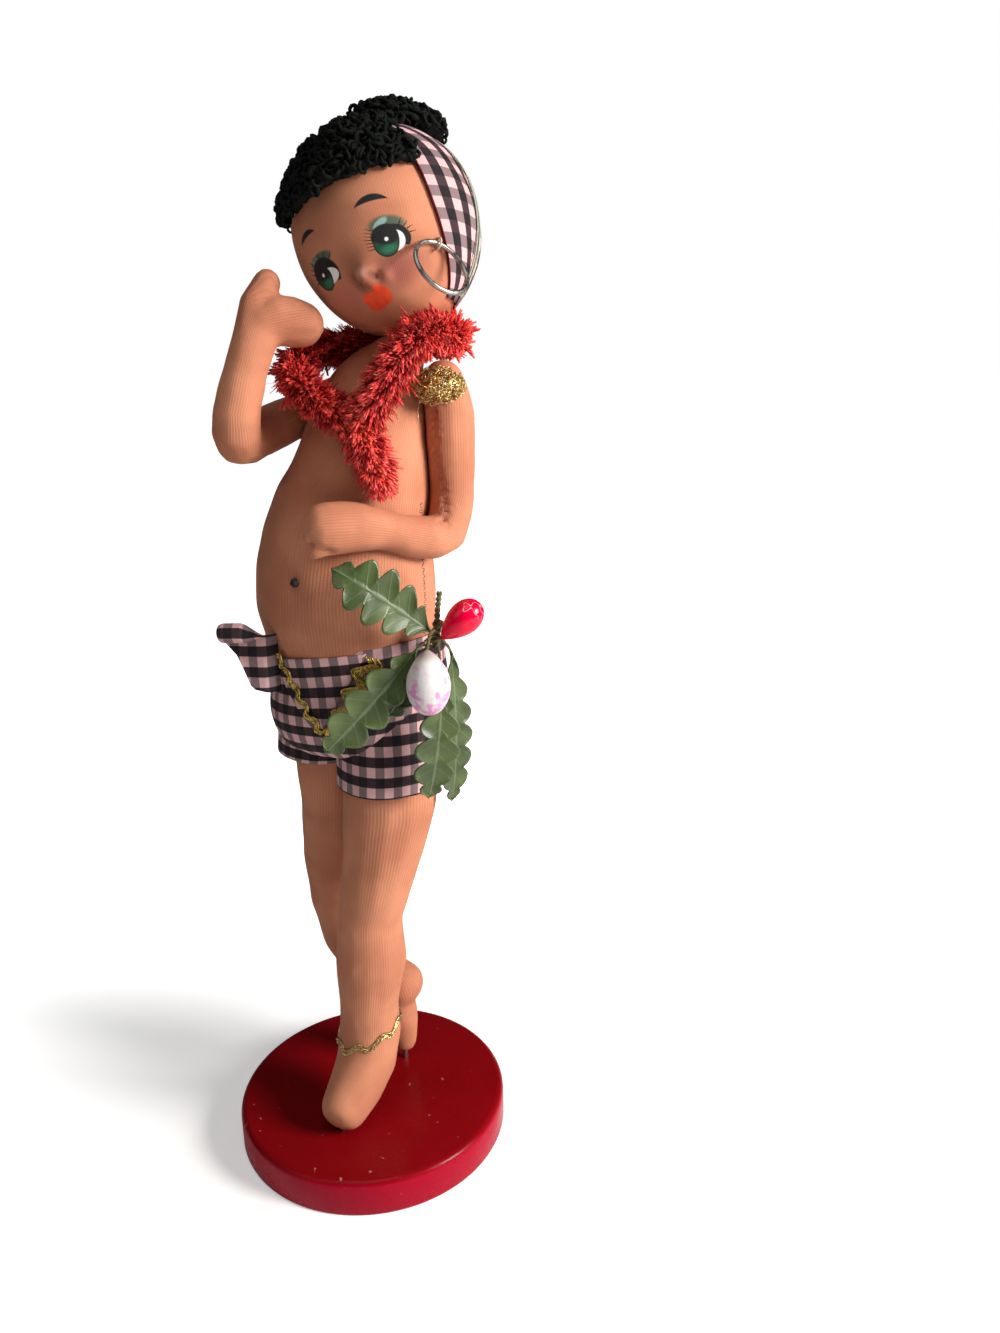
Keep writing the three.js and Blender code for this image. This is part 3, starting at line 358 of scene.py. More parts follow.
def near_line(place, line):
    """How far along a line of points a place lies, the line's nearest point and its direction there."""
    best = None
    run = 0.0
    for start, end in zip(line, line[1:]):
        step = end - start
        share = max(0.0, min(1.0, (place - start).dot(step) / step.length_squared))
        foot = start + step * share
        gap = (place - foot).length
        if best is None or gap < best[0]:
            best = (gap, run + step.length * share, foot, step.normalized())
        run += step.length
    return best


def lay_map(mesh, line, girth):
    """Maps a mesh in metres, round from its back seam and along a line of points through it."""
    line = [Vector(point) * MM for point in line]
    seam = Vector((0, 1, 0))
    places = []
    for vertex in mesh.vertices:
        _, along, foot, way = near_line(vertex.co, line)
        zero = (seam - way * seam.dot(way)).normalized()
        out = vertex.co - foot
        angle = math.atan2(out.dot(way.cross(zero)), out.dot(zero))
        places.append((angle / (2 * math.pi), along))
    layer = mesh.uv_layers.new(name="wrap")
    for face in mesh.polygons:
        first = places[face.vertices[0]][0]
        for loop in face.loop_indices:
            turn, along = places[mesh.loops[loop].vertex_index]
            layer.data[loop].uv = ((turn + round(first - turn)) * girth, along)


def lumps(size, depth):
    """Soft lumps of stuffing under a skin."""
    return lambda place, normal: normal * depth * noise.noise(place / size)


def sewn(line, depth, width, ripple=0.0, pitch=3 * MM):
    """A sewn line that sinks into a skin, puckered across where a ripple is given."""
    def move(place, normal):
        gap, along, _, _ = near_line(place, line)
        near = math.exp(-(gap / width) ** 2)
        wide = math.exp(-(gap / (3 * width)) ** 2)
        turn = 2 * math.pi * (along - gap) / pitch + 3 * noise.noise(place / (4 * MM))
        return normal * (ripple * wide * math.sin(turn) - depth * near)

    return move


def points(*places):
    return [Vector(place) * MM for place in places]


def stuffed(node, body, skin, line, girth, fill, grain, rounds, swell, *moves):
    """A stuffed piece, grown from its solid, shaped by moves, mapped along a line and padded."""
    mesh = soft_copy(node, grain, rounds, swell)
    for move in moves:
        sculpt(mesh, move)
    lay_map(mesh, line, girth)
    finished(node + "_skin", mesh, body, skin, "knit_skin", node)
    return mesh


# Torso: one tube of knit, darted into a pear at the belly and drawn in at the neck,
# with a seam down the left side where the tube was closed, oversewn in brown thread.
TORSO_LINE = [(0, 6, 150), (0, 3, 190), (1, 1, 215), (4, 3, 240), (10, 6, 266), (20, 8, 286), (26, 7, 296)]
TORSO_SEAM = points((31, 2.4, 196), (31.1, 1.8, 213), (31, 1.6, 222), (30, 2.2, 232), (27.6, 2, 246))
BODY_GIRTH = 176 * MM
torso_skin, *_ = skin_material("torso_skin", 1.05 * MM, 0.95 * MM)
torso = stuffed(
    "torso", "root", torso_skin, TORSO_LINE, BODY_GIRTH, 0.95, 1.5 * MM, 14, 0.25 * MM,
    lumps(16 * MM, 0.35 * MM), sewn(TORSO_SEAM, 0.6 * MM, 0.8 * MM, 0.2 * MM, 2.4 * MM))


def cords(lines, thickness, closed=False):
    """Round cords along lines of places, as one mesh."""
    data = bpy.data.curves.new("cords", "CURVE")
    data.dimensions = "3D"
    data.bevel_depth = thickness
    data.bevel_resolution = 2
    data.use_fill_caps = True
    for line in lines:
        spline = data.splines.new("POLY")
        spline.points.add(len(line) - 1)
        spline.use_cyclic_u = closed
        for index, spot in enumerate(line):
            spline.points[index].co = (*spot, 1)
    holder = bpy.data.objects.new("cords", data)
    bpy.context.scene.collection.objects.link(holder)
    mesh = bpy.data.meshes.new_from_object(holder.evaluated_get(bpy.context.evaluated_depsgraph_get()))
    bpy.data.objects.remove(holder)
    return mesh


def two_tone(name, roughness, grain, dark, pale, **sockets):
    """A material whose fine noise runs from a dark to a pale tint."""
    made, net, shader = material(name, roughness, **sockets)
    net.cover(shader, net.mix(net.noise(net.place(), grain, 2), dark, pale))
    return made


def faces_of(mesh):
    """A search tree of a mesh's faces."""
    return BVHTree.FromPolygons(
        [vertex.co for vertex in mesh.vertices], [face.vertices for face in mesh.polygons])


seam_thread = two_tone("seam_thread", 0.8, 1500, (0.12, 0.04, 0.02), (0.28, 0.11, 0.06))
skin_faces = faces_of(torso)
lines = []
for step in range(46):
    height = (198 + step) * MM
    before, after = next(pair for pair in zip(TORSO_SEAM, TORSO_SEAM[1:]) if pair[1].z >= height)
    middle = before.lerp(after, (height - before.z) / (after.z - before.z))
    slant = Vector((0, 0.7, 0.35 if step % 2 else -0.2)) * MM
    line = []
    for share in (-1, -0.4, 0.4, 1):
        at, face_out, _, _ = skin_faces.find_nearest(middle + slant * share)
        line.append(at + face_out * (0.16 - 0.2 * abs(share)) * MM)
    lines.append(line)
finished("torso_seam_stitches", cords(lines, 0.14 * MM), "root", seam_thread, "thread")


# Legs: stuffed knit tubes over wire. The left stands on its toes, with a few stitches
# that pinch the toes; the right is bent at the knee and rests its toe tip behind.
LEFT_LEG_LINE = [(14, 5, 190), (14, 0, 138), (10.6, -2, 116), (6.4, -5, 94), (6.2, -5.5, 76), (4.4, -6, 57),
                 (4.6, -8, 40), (4, -18, 27), (3.4, -30, 18)]
RIGHT_LEG_LINE = [(-14, 10, 190), (-16, 13, 140), (-20.8, 15, 104), (-22, 17, 83), (-17, 18, 65),
                  (-6, 19.4, 51), (0, 19.6, 38), (3, 19.5, 14)]
LEG_GIRTH = 84 * MM
TOE_STITCHES = [points((2.2, -33.2, 24.4), (1.6, -34.8, 20.4)), points((5.4, -32.6, 24), (5.6, -34.2, 20))]
leg_skin, *_ = skin_material("leg_skin", 1.05 * MM, 0.9 * MM)
left_leg = stuffed(
    "left_leg", "root", leg_skin, LEFT_LEG_LINE, LEG_GIRTH, 0.95, 1.3 * MM, 14, 0.3 * MM,
    lumps(11 * MM, 0.3 * MM), *(sewn(stitch, 0.7 * MM, 0.9 * MM) for stitch in TOE_STITCHES))
stuffed("right_leg", "root", leg_skin, RIGHT_LEG_LINE, LEG_GIRTH, 0.95, 1.3 * MM, 14, 0.3 * MM,
        lumps(11 * MM, 0.3 * MM))


# Arms: thin stuffed tubes over a lighter wire, with mitten hands. The left upper arm's seam
# is gathered, so its skin puckers on the inside, and a few stitches draw in the hands.
LEFT_ARM_LINE = [(35.8, 12.4, 285), (35.8, 12.4, 245), (35, 6, 234), (32, -3, 232.8), (27.2, -14.4, 236.4),
                 (22.2, -23.4, 238.4), (10, -37, 238.6)]
RIGHT_ARM_LINE = [(-8, 14, 274), (-15.6, -4, 269), (-17.4, -18, 265), (-16.2, -28.2, 264), (-13, -32, 271.4),
                  (-10.4, -29.6, 284), (-8, -25.6, 296), (2, -13, 299)]


def bulge(centre, radius, push):
    """A round swelling about a place, pushed out by a vector."""
    return lambda place, normal: push * math.exp(-((place - centre).length / radius) ** 2)


ARM_GIRTH = 44 * MM
ARM_SEAM = points((34.2, 4.6, 272), (34.4, 5, 265), (34.9, 5.3, 253.3), (36.3, 4.9, 247), (37.9, 4.3, 241),
                  (38.8, 1, 237.6))
LEFT_HAND_STITCH = points((14.6, -37.2, 235.2), (17.4, -35.8, 233.4), (19.6, -34, 232.4))
RIGHT_HAND_STITCH = points((2.2, -21, 293.4), (6, -16.6, 294.6))
LEFT_THUMB, THUMB_PUSH = points((14.4, -35.6, 231), (-1.6, -0.8, -2.6))
arm_skin, *_ = skin_material("arm_skin", 0.8 * MM, 0.9 * MM)
stuffed("left_arm", "left_arm", arm_skin, LEFT_ARM_LINE, ARM_GIRTH, 0.9, 1.0 * MM, 12, 0.3 * MM,
        lumps(8 * MM, 0.3 * MM), sewn(ARM_SEAM, 0.6 * MM, 0.9 * MM, 0.6 * MM, 2.5 * MM),
        bulge(LEFT_THUMB, 3.2 * MM, THUMB_PUSH), sewn(LEFT_HAND_STITCH, 1.6 * MM, 1.1 * MM))
stuffed("right_arm", "right_arm", arm_skin, RIGHT_ARM_LINE, ARM_GIRTH, 0.9, 1.0 * MM, 12, 0.3 * MM,
        lumps(8 * MM, 0.3 * MM), sewn(RIGHT_HAND_STITCH, 0.7 * MM, 0.9 * MM))


# Armature wires: plain drawn steel, seen only where they leave the toes for the base.
steel = two_tone("armature_steel", 0.35, 900, (0.32, 0.31, 0.3), (0.5, 0.49, 0.47), Metallic=1.0)
for name in ("left_leg_wire", "right_leg_wire", "spine_wire", "left_arm_wire", "right_arm_wire"):
    data = nodes[name].data
    data.materials.clear()
    data.materials.append(steel)


# Head: a stuffed knit egg, leaning to her right. Its nose is a pinch of stuffing held by
# two hidden stitches, and the face is painted on the knit with soft blushed cheeks.
HEAD_AT = Vector((15.4, 10.7, 326.2)) * MM
HEAD_R, CHIN_DROP, CROWN_RISE = 28.3 * MM, 32.7 * MM, 28.0 * MM
HEAD_LEAN, HEAD_NOD = math.radians(-21.3), math.radians(-8.0)
head_frame = (
    Matrix.Translation(HEAD_AT) @ Matrix.Rotation(HEAD_NOD, 4, "X") @ Matrix.Rotation(HEAD_LEAN, 4, "Y"))
FACE_ACROSS, FACE_UP = 0.436, 0.55
HEAD_GROW, HEAD_GIRTH = 0.15 * MM, 176
NOSE_AT = (1.2, -22.4, -20.7)
# Each swelling of the face: its place, its radius and its height, or depth where it is below zero.
FACE_SWELLS = [
    (NOSE_AT, 2.8, 4.2), (NOSE_AT, 7, 0.6), ((4.0, -21.6, -22.0), 1.3, -2.4), ((-2.2, -22, -21.8), 1.3, -2.4),
    ((13, -19, -18), 9, 0.3), ((-13, -19, -18), 9, 0.8), ((6, -20, -22.4), 1.8, 1.0),
    ((0, -20, -25.6), 6, -0.5)]
head_shape = bmesh.new()
bmesh.ops.create_uvsphere(head_shape, u_segments=180, v_segments=120, radius=1.0)
for vertex in head_shape.verts:
    reach = CROWN_RISE if vertex.co.z > 0 else CHIN_DROP
    size = (HEAD_R + HEAD_GROW, HEAD_R + HEAD_GROW, reach + HEAD_GROW)
    spot = Vector(co * axis for co, axis in zip(vertex.co, size))
    out = Vector((spot.x, spot.y, spot.z * (HEAD_R / CHIN_DROP) ** 2)).normalized()
    lift = 0.0
    for centre, radius, height in FACE_SWELLS:
        lift += height * MM * math.exp(-((spot - Vector(centre) * MM).length / (radius * MM)) ** 2)
    lift += 0.15 * MM * noise.noise(spot / (9 * MM))
    vertex.co = spot + out * lift
head_mesh = as_mesh(head_shape, "head")

face_map = head_mesh.uv_layers.new(name="face")
knit_map = head_mesh.uv_layers.new(name="wrap")
for face in head_mesh.polygons:
    corners = [head_mesh.vertices[index].co for index in face.vertices]
    middle = math.degrees(math.atan2(sum(c.x for c in corners), -sum(c.y for c in corners)))
    for loop in face.loop_indices:
        spot = head_mesh.vertices[head_mesh.loops[loop].vertex_index].co
        on_axis = math.hypot(spot.x, spot.y) < 0.01 * MM
        turn = middle if on_axis else math.degrees(math.atan2(spot.x, -spot.y))
        turn += 360 * round((middle - turn) / 360)
        rise = math.degrees(math.asin(max(-1.0, min(1.0, spot.z / CHIN_DROP))))
        face_map.data[loop].uv = (turn * FACE_ACROSS, rise * FACE_UP)
        knit_map.data[loop].uv = (turn / 360 * HEAD_GIRTH * MM, spot.z)

oval, given, result = group(
    "oval", {"Map": "Vector", "Middle": "Vector", "Half": "Vector", "Tilt": "Float", "Soft": "Float"},
    {"Mask": "Float"})
turned_to = oval.node("ShaderNodeVectorRotate", rotation_type="Z_AXIS", invert=True)
oval.put(turned_to.inputs["Vector"], oval.vector("SUBTRACT", given["Map"], given["Middle"]))
oval.put(turned_to.inputs["Angle"], given["Tilt"])
distance = oval.vector("LENGTH", oval.vector("DIVIDE", turned_to.outputs[0], given["Half"]))
inner, outer = oval.math("SUBTRACT", 1.0, given["Soft"]), oval.math("ADD", 1.0, given["Soft"])
oval.put(result["Mask"], oval.span(distance, inner, outer, 1.0, 0.0))
oval_group = oval.tree

stroke, given, result = group(
    "stroke", {"Map": "Vector", "Root": "Vector", "Tip": "Vector", "Width": "Float"}, {"Mask": "Float"})
ray = stroke.vector("SUBTRACT", given["Tip"], given["Root"])
offset = stroke.vector("SUBTRACT", given["Map"], given["Root"])
share = stroke.math(
    "DIVIDE", stroke.vector("DOT_PRODUCT", offset, ray), stroke.vector("DOT_PRODUCT", ray, ray), clamp=True)
reach = stroke.node("ShaderNodeVectorMath", operation="SCALE")
stroke.put(reach.inputs[0], ray)
stroke.put(reach.inputs["Scale"], share)
gap = stroke.vector("DISTANCE", offset, reach.outputs[0])
thickness = stroke.math("MULTIPLY", given["Width"], stroke.math("MULTIPLY_ADD", share, -0.75, 1.0))
inner, outer = stroke.math("MULTIPLY", thickness, 0.6), stroke.math("MULTIPLY", thickness, 1.4)
stroke.put(result["Mask"], stroke.span(gap, inner, outer, 1.0, 0.0))
stroke_group = stroke.tree

head_skin, net, shader, skin_tint = skin_material("head_skin", 0.8 * MM, 0.8 * MM, 0.16)
paper = net.wrap("face")
grain = net.noise(net.wrap(), 2500, 2)


def spot_mask(middle, half, tilt=0.0, soft=0.06):
    return net.use(oval_group, Map=paper, Middle=(*middle, 0), Half=(*half, 1),
                   Tilt=math.radians(tilt), Soft=soft)[0]


def without(mask, other):
    return net.math("MULTIPLY", mask, net.math("SUBTRACT", 1.0, other))


def both(*masks):
    total = masks[0]
    for mask in masks[1:]:
        total = net.math("MAXIMUM", total, mask)
    return total


INK = (0.004, 0.004, 0.005)
paint = skin_tint
# Two blushed cheeks, then painted shade between the eyes, beside and under the nose and in its nostril, and a
# painted highlight on the nose's bulb.
for middle, half, strength, tint in (
        ((12.8, -23.6), (8.0, 6.0), 0.8, (0.27, 0.065, 0.05)),
        ((-10.5, -24.0), (7.5, 5.5), 0.5, (0.46, 0.13, 0.095)),
        ((-0.4, -17.5), (5.0, 5.0), 0.45, (0.22, 0.07, 0.04)),
        ((-2.8, -22.5), (2.0, 2.8), 0.6, (0.13, 0.035, 0.02)),
        ((0.4, -25.6), (4.0, 1.5), 0.5, (0.16, 0.04, 0.025)),
        ((3.7, -23.3), (0.9, 1.2), 0.75, (0.1, 0.025, 0.015)),
        ((1.2, -22.0), (1.8, 1.7), 0.4, (0.85, 0.48, 0.36))):
    paint = net.mix(net.math("MULTIPLY", spot_mask(middle, half, soft=0.85), strength), paint, tint)


def lashes(ink, roots, tips, count, width):
    """Adds short strokes, spread evenly between a first and a last root and tip, to a mask."""
    for lash in range(count):
        share = lash / (count - 1)
        root = Vector(roots[0]).lerp(Vector(roots[1]), share)
        tip = Vector(tips[0]).lerp(Vector(tips[1]), share)
        bow = Vector(roots[2]) * math.sin(math.pi * share)
        drawn = net.use(stroke_group, Map=paper, Root=(*(root + bow), 0), Tip=(*(tip + bow), 0), Width=width)
        ink = both(ink, drawn[0])
    return ink


def eye_shine(across, up):
    """Paints a green iris, dark at the top, with one small highlight."""
    iris = spot_mask((across, up), (IRIS_R, IRIS_R), 0, 0.04)
    pupil = spot_mask((across + 0.4, up + 2.3), (4.1, 2.7), -10, 0.14)
    light = spot_mask((across + 0.3, up - 1.8), (2.2, 1.2), 0, 0.6)
    shade = net.mix(light, (0.006, 0.06, 0.03), (0.02, 0.15, 0.075))
    eye = net.mix(without(iris, pupil), paint, shade)
    return net.mix(spot_mask((across + 0.3, up + 1.0), (0.52, 0.52), 0, 0.4), eye, (0.95, 0.95, 0.95))


LEFT_IRIS, RIGHT_IRIS, IRIS_R = (10.8, -15.8), (-12.8, -16.0), 3.4
for middle, half, tilt, strength, tint in (
        ((12.2, -11.2), (4.9, 2.4), -8, 0.9, (0.03, 0.1, 0.065)),
        ((10.6, -10.4), (2.2, 0.95), 24, 0.8, (0.3, 0.5, 0.44)),
        ((-10.6, -11.2), (4.8, 1.9), -4, 0.9, (0.03, 0.1, 0.065)),
        ((-12.8, -10.4), (1.6, 0.7), 0, 0.5, (0.24, 0.4, 0.35))):
    paint = net.mix(net.math("MULTIPLY", spot_mask(middle, half, tilt, 0.25), strength), paint, tint)
ring = both(spot_mask(LEFT_IRIS, (3.8, 3.8), 0, 0.04), spot_mask(RIGHT_IRIS, (3.7, 3.7), 0, 0.04))
left_lid = both(spot_mask((11.2, -14.2), (4.3, 3.4), -8), without(
    spot_mask((14.0, -14.9), (4.3, 3.3), -28), spot_mask((15.6, -20.0), (5.0, 2.6), -20)))
right_lid = without(spot_mask((-11.4, -15.6), (5.6, 5.0), -20), spot_mask((-11.5, -23.4), (9.0, 4.8), 0))
left_brow = without(spot_mask((9.7, -9.4), (6.2, 7.1), 0, 0.03), spot_mask((9.9, -12.0), (14, 7.8), -3, 0.02))
right_brow = without(
    spot_mask((-11.7, -6.4), (4.7, 4.4), 0, 0.04), spot_mask((-11.7, -9.5), (11, 5.9), 0, 0.03))
ink = both(ring, left_lid, right_lid, left_brow, right_brow)
ink = lashes(ink, ((8.3, -11.8), (6.9, -16.4), (-0.5, 0.2)), ((6.0, -10.4), (4.9, -16.3)), 7, 0.16)
ink = lashes(ink, ((15.4, -11.9), (17.9, -14.4), (0.5, 0.3)), ((16.3, -10.3), (19.8, -14.2)), 4, 0.18)
ink = lashes(ink, ((-15.0, -12.2), (-16.6, -15.4), (0, 0)), ((-17.4, -10.4), (-18.8, -14.8)), 4, 0.2)
ink = lashes(ink, ((-14.0, -11.2), (-7.0, -12.4), (0, 0.7)), ((-15.4, -9.2), (-5.6, -11.0)), 5, 0.18)
paint = net.mix(ink, paint, INK)
left_white = without(
    spot_mask((13.5, -15.8), (2.8, 2.8), 0, 0.05), spot_mask((10.9, -15.4), (3.75, 4.7), -14, 0.04))
right_white = without(
    spot_mask((-10.4, -16.5), (3.9, 2.3), -6, 0.05), spot_mask((-13.1, -15.7), (3.9, 3.8), 0, 0.04))
paint = net.mix(both(left_white, right_white), paint, (0.85, 0.84, 0.82))
for iris_at in (LEFT_IRIS, RIGHT_IRIS):
    paint = eye_shine(*iris_at)
lips = both(
    spot_mask((-3.6, -29.3), (3.0, 3.0), 10, 0.08), spot_mask((2.6, -29.2), (3.8, 3.3), -10, 0.08),
    spot_mask((-0.8, -29.8), (3.8, 3.1), 0, 0.08), spot_mask((-1.8, -30.8), (5.2, 2.6), 6, 0.08))
lip_tint = net.mix(net.span(net.noise(paper, 0.3, 1), 0.35, 0.65), (0.88, 0.055, 0.008), (0.98, 0.085, 0.014))
paint = net.mix(net.math("MULTIPLY", lips, 0.96), paint, lip_tint)
paint = net.mix(net.math("MULTIPLY", grain, 0.12), paint, (0.5, 0.3, 0.2), "OVERLAY")
net.cover(shader, paint)
head_mesh.transform(head_frame)
finished("head_skin", head_mesh, "head", head_skin, "knit_skin", "head")


# Navel: a tight knot of black thread worked through the belly's skin.
NAVEL_LOW, NAVEL_HIGH = (Vector(corner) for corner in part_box("navel"))
black_thread = two_tone("black_thread", 0.7, 1800, (0.003, 0.0025, 0.0025), (0.014, 0.011, 0.01))
navel = bmesh.new()
bmesh.ops.create_icosphere(navel, subdivisions=4, radius=1.35 * MM)
for vertex in navel.verts:
    twist = math.atan2(vertex.co.z, vertex.co.x) * 5 + vertex.co.y / (0.25 * MM)
    vertex.co *= 1 + 0.1 * math.sin(twist)
bmesh.ops.translate(navel, verts=navel.verts, vec=(NAVEL_LOW + NAVEL_HIGH) / 2)
finished("navel_knot", navel, "root", black_thread, "black_thread", "navel")


# Gingham: one woven cotton for the shorts, the wrap and the scarf. Its black rows are
# close beaten, so they stay dark where they cross pink, and the pale rows turn grey.
gingham, given, result = group(
    "gingham", {"Map": "Vector", "Wide": "Float", "High": "Float"}, {"Color": "Color", "Height": "Float"})
axes = gingham.axes(given["Map"])
stripes = []
for axis, size in (("X", "Wide"), ("Y", "High")):
    count = gingham.math("DIVIDE", axes[axis], given[size])
    turn = gingham.math("PINGPONG", gingham.math("ADD", count, 0.5), 1.0)
    stripes.append(gingham.span(turn, 0.46, 0.54))
fine = gingham.noise(given["Map"], 1900, 2, (1, 0.18, 1))
fine_across = gingham.noise(given["Map"], 1900, 2, (0.18, 1, 1))
pale_row = gingham.mix(stripes[0], (0.70, 0.42, 0.42), (0.225, 0.15, 0.155))
dark_row = gingham.mix(stripes[0], (0.036, 0.02, 0.024), (0.005, 0.0045, 0.006))
checks = gingham.mix(stripes[1], pale_row, dark_row)
checks = gingham.mix(gingham.math("MULTIPLY", fine, 0.12), checks, (0.20, 0.13, 0.135))
gingham.put(result["Color"], checks)
gingham.put(result["Height"], gingham.math("ADD", fine, fine_across))
gingham_group = gingham.tree


def gingham_material(name, wide, high):
    made, net, shader = material(name, 0.85)
    shader.inputs["Specular IOR Level"].default_value = 0.2
    woven = net.use(gingham_group, Map=net.wrap(), Wide=wide, High=high)
    net.cover(shader, woven["Color"], woven["Height"], 0.25 * MM, 0.5)
    return made, net, shader, woven["Color"]


def thickened(piece, thickness):
    """Gives a sheet its cloth's thickness, half to each side."""
    solidify = piece.modifiers.new("cloth", "SOLIDIFY")
    solidify.thickness = thickness
    solidify.offset = 0.0
    return piece


def smooth_line(stations, steps):
    """Points on a smooth curve through stations of any number of values, steps to each stretch."""
    filled = []
    last = len(stations) - 1
    for index in range(last):
        before, start, end, after = (stations[max(0, min(last, index + k))] for k in (-1, 0, 1, 2))
        for step in range(steps):
            t = step / steps
            filled.append(tuple(
                0.5 * (2 * b + (c - a) * t + (2 * a - 5 * b + 4 * c - d) * t * t
                       + (3 * b - a - 3 * c + d) * t ** 3)
                for a, b, c, d in zip(before, start, end, after)))
    return filled + [tuple(stations[-1])]


def mapped_grid(columns, rows, place, spread):
    """A grid of cloth whose corners come from shares across and down, with its map in metres."""
    shape = bmesh.new()
    bmesh.ops.create_grid(shape, x_segments=columns, y_segments=rows, size=0.5)
    layer = shape.loops.layers.uv.new("wrap")
    shares = {vertex: (vertex.co.x + 0.5, vertex.co.y + 0.5) for vertex in shape.verts}
    for face in shape.faces:
        for loop in face.loops:
            loop[layer].uv = spread(*shares[loop.vert])
    for vertex, (across, down) in shares.items():
        vertex.co = place(across, down)
    bmesh.ops.remove_doubles(shape, verts=shape.verts, dist=0.01 * MM)
    bmesh.ops.recalc_face_normals(shape, faces=shape.faces)
    return shape


def cloth_tube(stations, sides, slope, folds, depth, first_row):
    """An open tube of cloth through rings of x, y, z and radius, mapped round and along."""
    rings = smooth_line(stations, 8)
    last = len(rings) - 1
    girth = 2 * math.pi * sum(ring[3] for ring in rings) / len(rings)

    def place(across, down):
        x, y, z, radius = rings[round(down * last)]
        angle = 2 * math.pi * across
        reach = radius + depth * down * (math.sin(folds * angle) + 0.5 * math.sin((folds + 2) * angle + 1.3))
        px = x + reach * math.cos(angle)
        return Vector((px, y + reach * math.sin(angle), z + slope * px * (1 - down))) * MM

    return mapped_grid(sides, last, place, lambda across, down: (
        across * girth * MM, (first_row + rings[0][2] - rings[round(down * last)][2]) * MM))


# Shorts: hips and two short legs of gingham, narrow hems turned under at the waist and
# the cuffs. The left cuff flares a little from the thigh, the right one more.
CHECK_WIDE, CHECK_HIGH = 2.95 * MM, 3.5 * MM
WAIST_SLOPE = 0.12
SHORTS_HIP = [
    (1, 4.4, 196, 30.2), (1, 5, 186, 30.1), (0, 6, 173, 31), (-1, 5.6, 163, 27.3), (-1, 5.8, 158, 22)]
LEFT_SHORT = [(12.6, 4.4, 174, 19), (14.2, 2, 158, 18.9), (14.4, 0.8, 146.2, 18.7)]
RIGHT_SHORT = [(-11.4, 9, 176, 19.4), (-14.6, 11, 162, 20.7), (-16.4, 12, 151.2, 21.2)]
shorts_cloth, *_ = gingham_material("shorts_gingham", CHECK_WIDE, CHECK_HIGH)
for name, stations, slope, folds, depth, first_row, replaced in (
        ("shorts_hips", SHORTS_HIP, WAIST_SLOPE, 5, 0.6, 3.5, ("shorts",)),
        ("shorts_left_leg", LEFT_SHORT, 0.0, 3, 0.5, 0.7, ()),
        ("shorts_right_leg", RIGHT_SHORT, 0.0, 3, 0.8, 0.9, ())):
    tube = cloth_tube(stations, 96, slope, folds, depth, first_row)
    made = finished(name, tube, "root", shorts_cloth, "gingham", *replaced)
    thickened(made, 0.6 * MM)


# Wrap: a V of the same gingham crossed over the front of the shorts. Its stiffened end
# stands out from the right hip and curls over at the tip.
WRAP_LEFT, WRAP_RIGHT, WRAP_LOW = Vector((-14, 193.8)), Vector((21, 197.6)), Vector((5, 168.4))
HIP_RINGS = smooth_line(SHORTS_HIP, 8)


def hip_front(x, z, out):
    """The place in front of the hips at a given x and height, a given way out from the shorts."""
    cx, cy, _, radius = min(HIP_RINGS, key=lambda ring: abs(ring[2] + WAIST_SLOPE * x - z))
    reach = radius + out
    return Vector((x, cy - math.sqrt(max(0.0, reach ** 2 - (x - cx) ** 2)), z)) * MM


def wrap_place(across, down):
    spot = WRAP_LEFT.lerp(WRAP_RIGHT, across).lerp(WRAP_LOW, down)
    return hip_front(spot.x, spot.y, 1.2 + 0.35 * math.sin(7 * across + 3 * down))


def wrap_spread(across, down):
    spot = WRAP_LEFT.lerp(WRAP_RIGHT, across).lerp(WRAP_LOW, down)
    return (spot.x + 0.1 * spot.y) * MM, (spot.y - WAIST_SLOPE * spot.x) * MM


wrap_shape = mapped_grid(40, 40, wrap_place, wrap_spread)
wrap_panel = finished("wrap_cloth", wrap_shape, "root", shorts_cloth, "gingham", "wrap_panel")
thickened(wrap_panel, 0.6 * MM)

FLARE_ROOT, FLARE_TIP, FLARE_OUT = Vector((-8.5, -28.4)), Vector((-24.6, -35.6)), Vector((0.41, -0.91, 0))
FLARE_LOW = [
    (0, 183.4), (0.2, 183.6), (0.42, 184.6), (0.5, 186), (0.6, 191), (0.72, 196.4), (0.86, 199.4), (1, 202.6)]
FLARE_ROLL, FLARE_WIDE = 0.45, 17.7


def flare_place(across, down):
    """The flap hangs down from a roll along its top edge, which grows and closes towards the tip."""
    spot = FLARE_ROOT.lerp(FLARE_TIP, across) - FLARE_OUT.xy * 3.4 * max(0.0, 1 - across / 0.25) ** 2
    grown = min(1.0, max(0.0, (across - 0.2) / 0.35))
    closed = math.sqrt(max(0.0, 1 - max(0.0, (across - 0.84) / 0.16) ** 2))
    radius = 0.3 + 3.0 * grown ** 2 * (3 - 2 * grown) * closed
    top = 202.4 + 1.8 * grown
    if down < FLARE_ROLL:
        angle = math.radians(300) * (1 - down / FLARE_ROLL)
        turned_in = radius * (1 - 0.25 * (1 - down / FLARE_ROLL))
        middle = Vector((*spot, top)) + FLARE_OUT * radius
        rise = Vector((0, 0, turned_in * math.sin(angle)))
        return (middle - FLARE_OUT * turned_in * math.cos(angle) + rise) * MM
    before, after = next(pair for pair in zip(FLARE_LOW, FLARE_LOW[1:]) if pair[1][0] >= across - 1e-6)
    low = before[1] + (after[1] - before[1]) * (across - before[0]) / (after[0] - before[0])
    share = (down - FLARE_ROLL) / (1 - FLARE_ROLL)
    bow = FLARE_OUT * 0.5 * math.sin(math.pi * share) * math.sin(5 * across + 1)
    return (Vector((*spot, top + (min(low, top - 0.2) - top) * share)) + bow) * MM


def flare_spread(across, down):
    if down < FLARE_ROLL:
        return across * FLARE_WIDE * MM, (FLARE_ROLL - down) * 36 * MM
    return across * FLARE_WIDE * MM, flare_place(across, down).z - 202.8 * MM


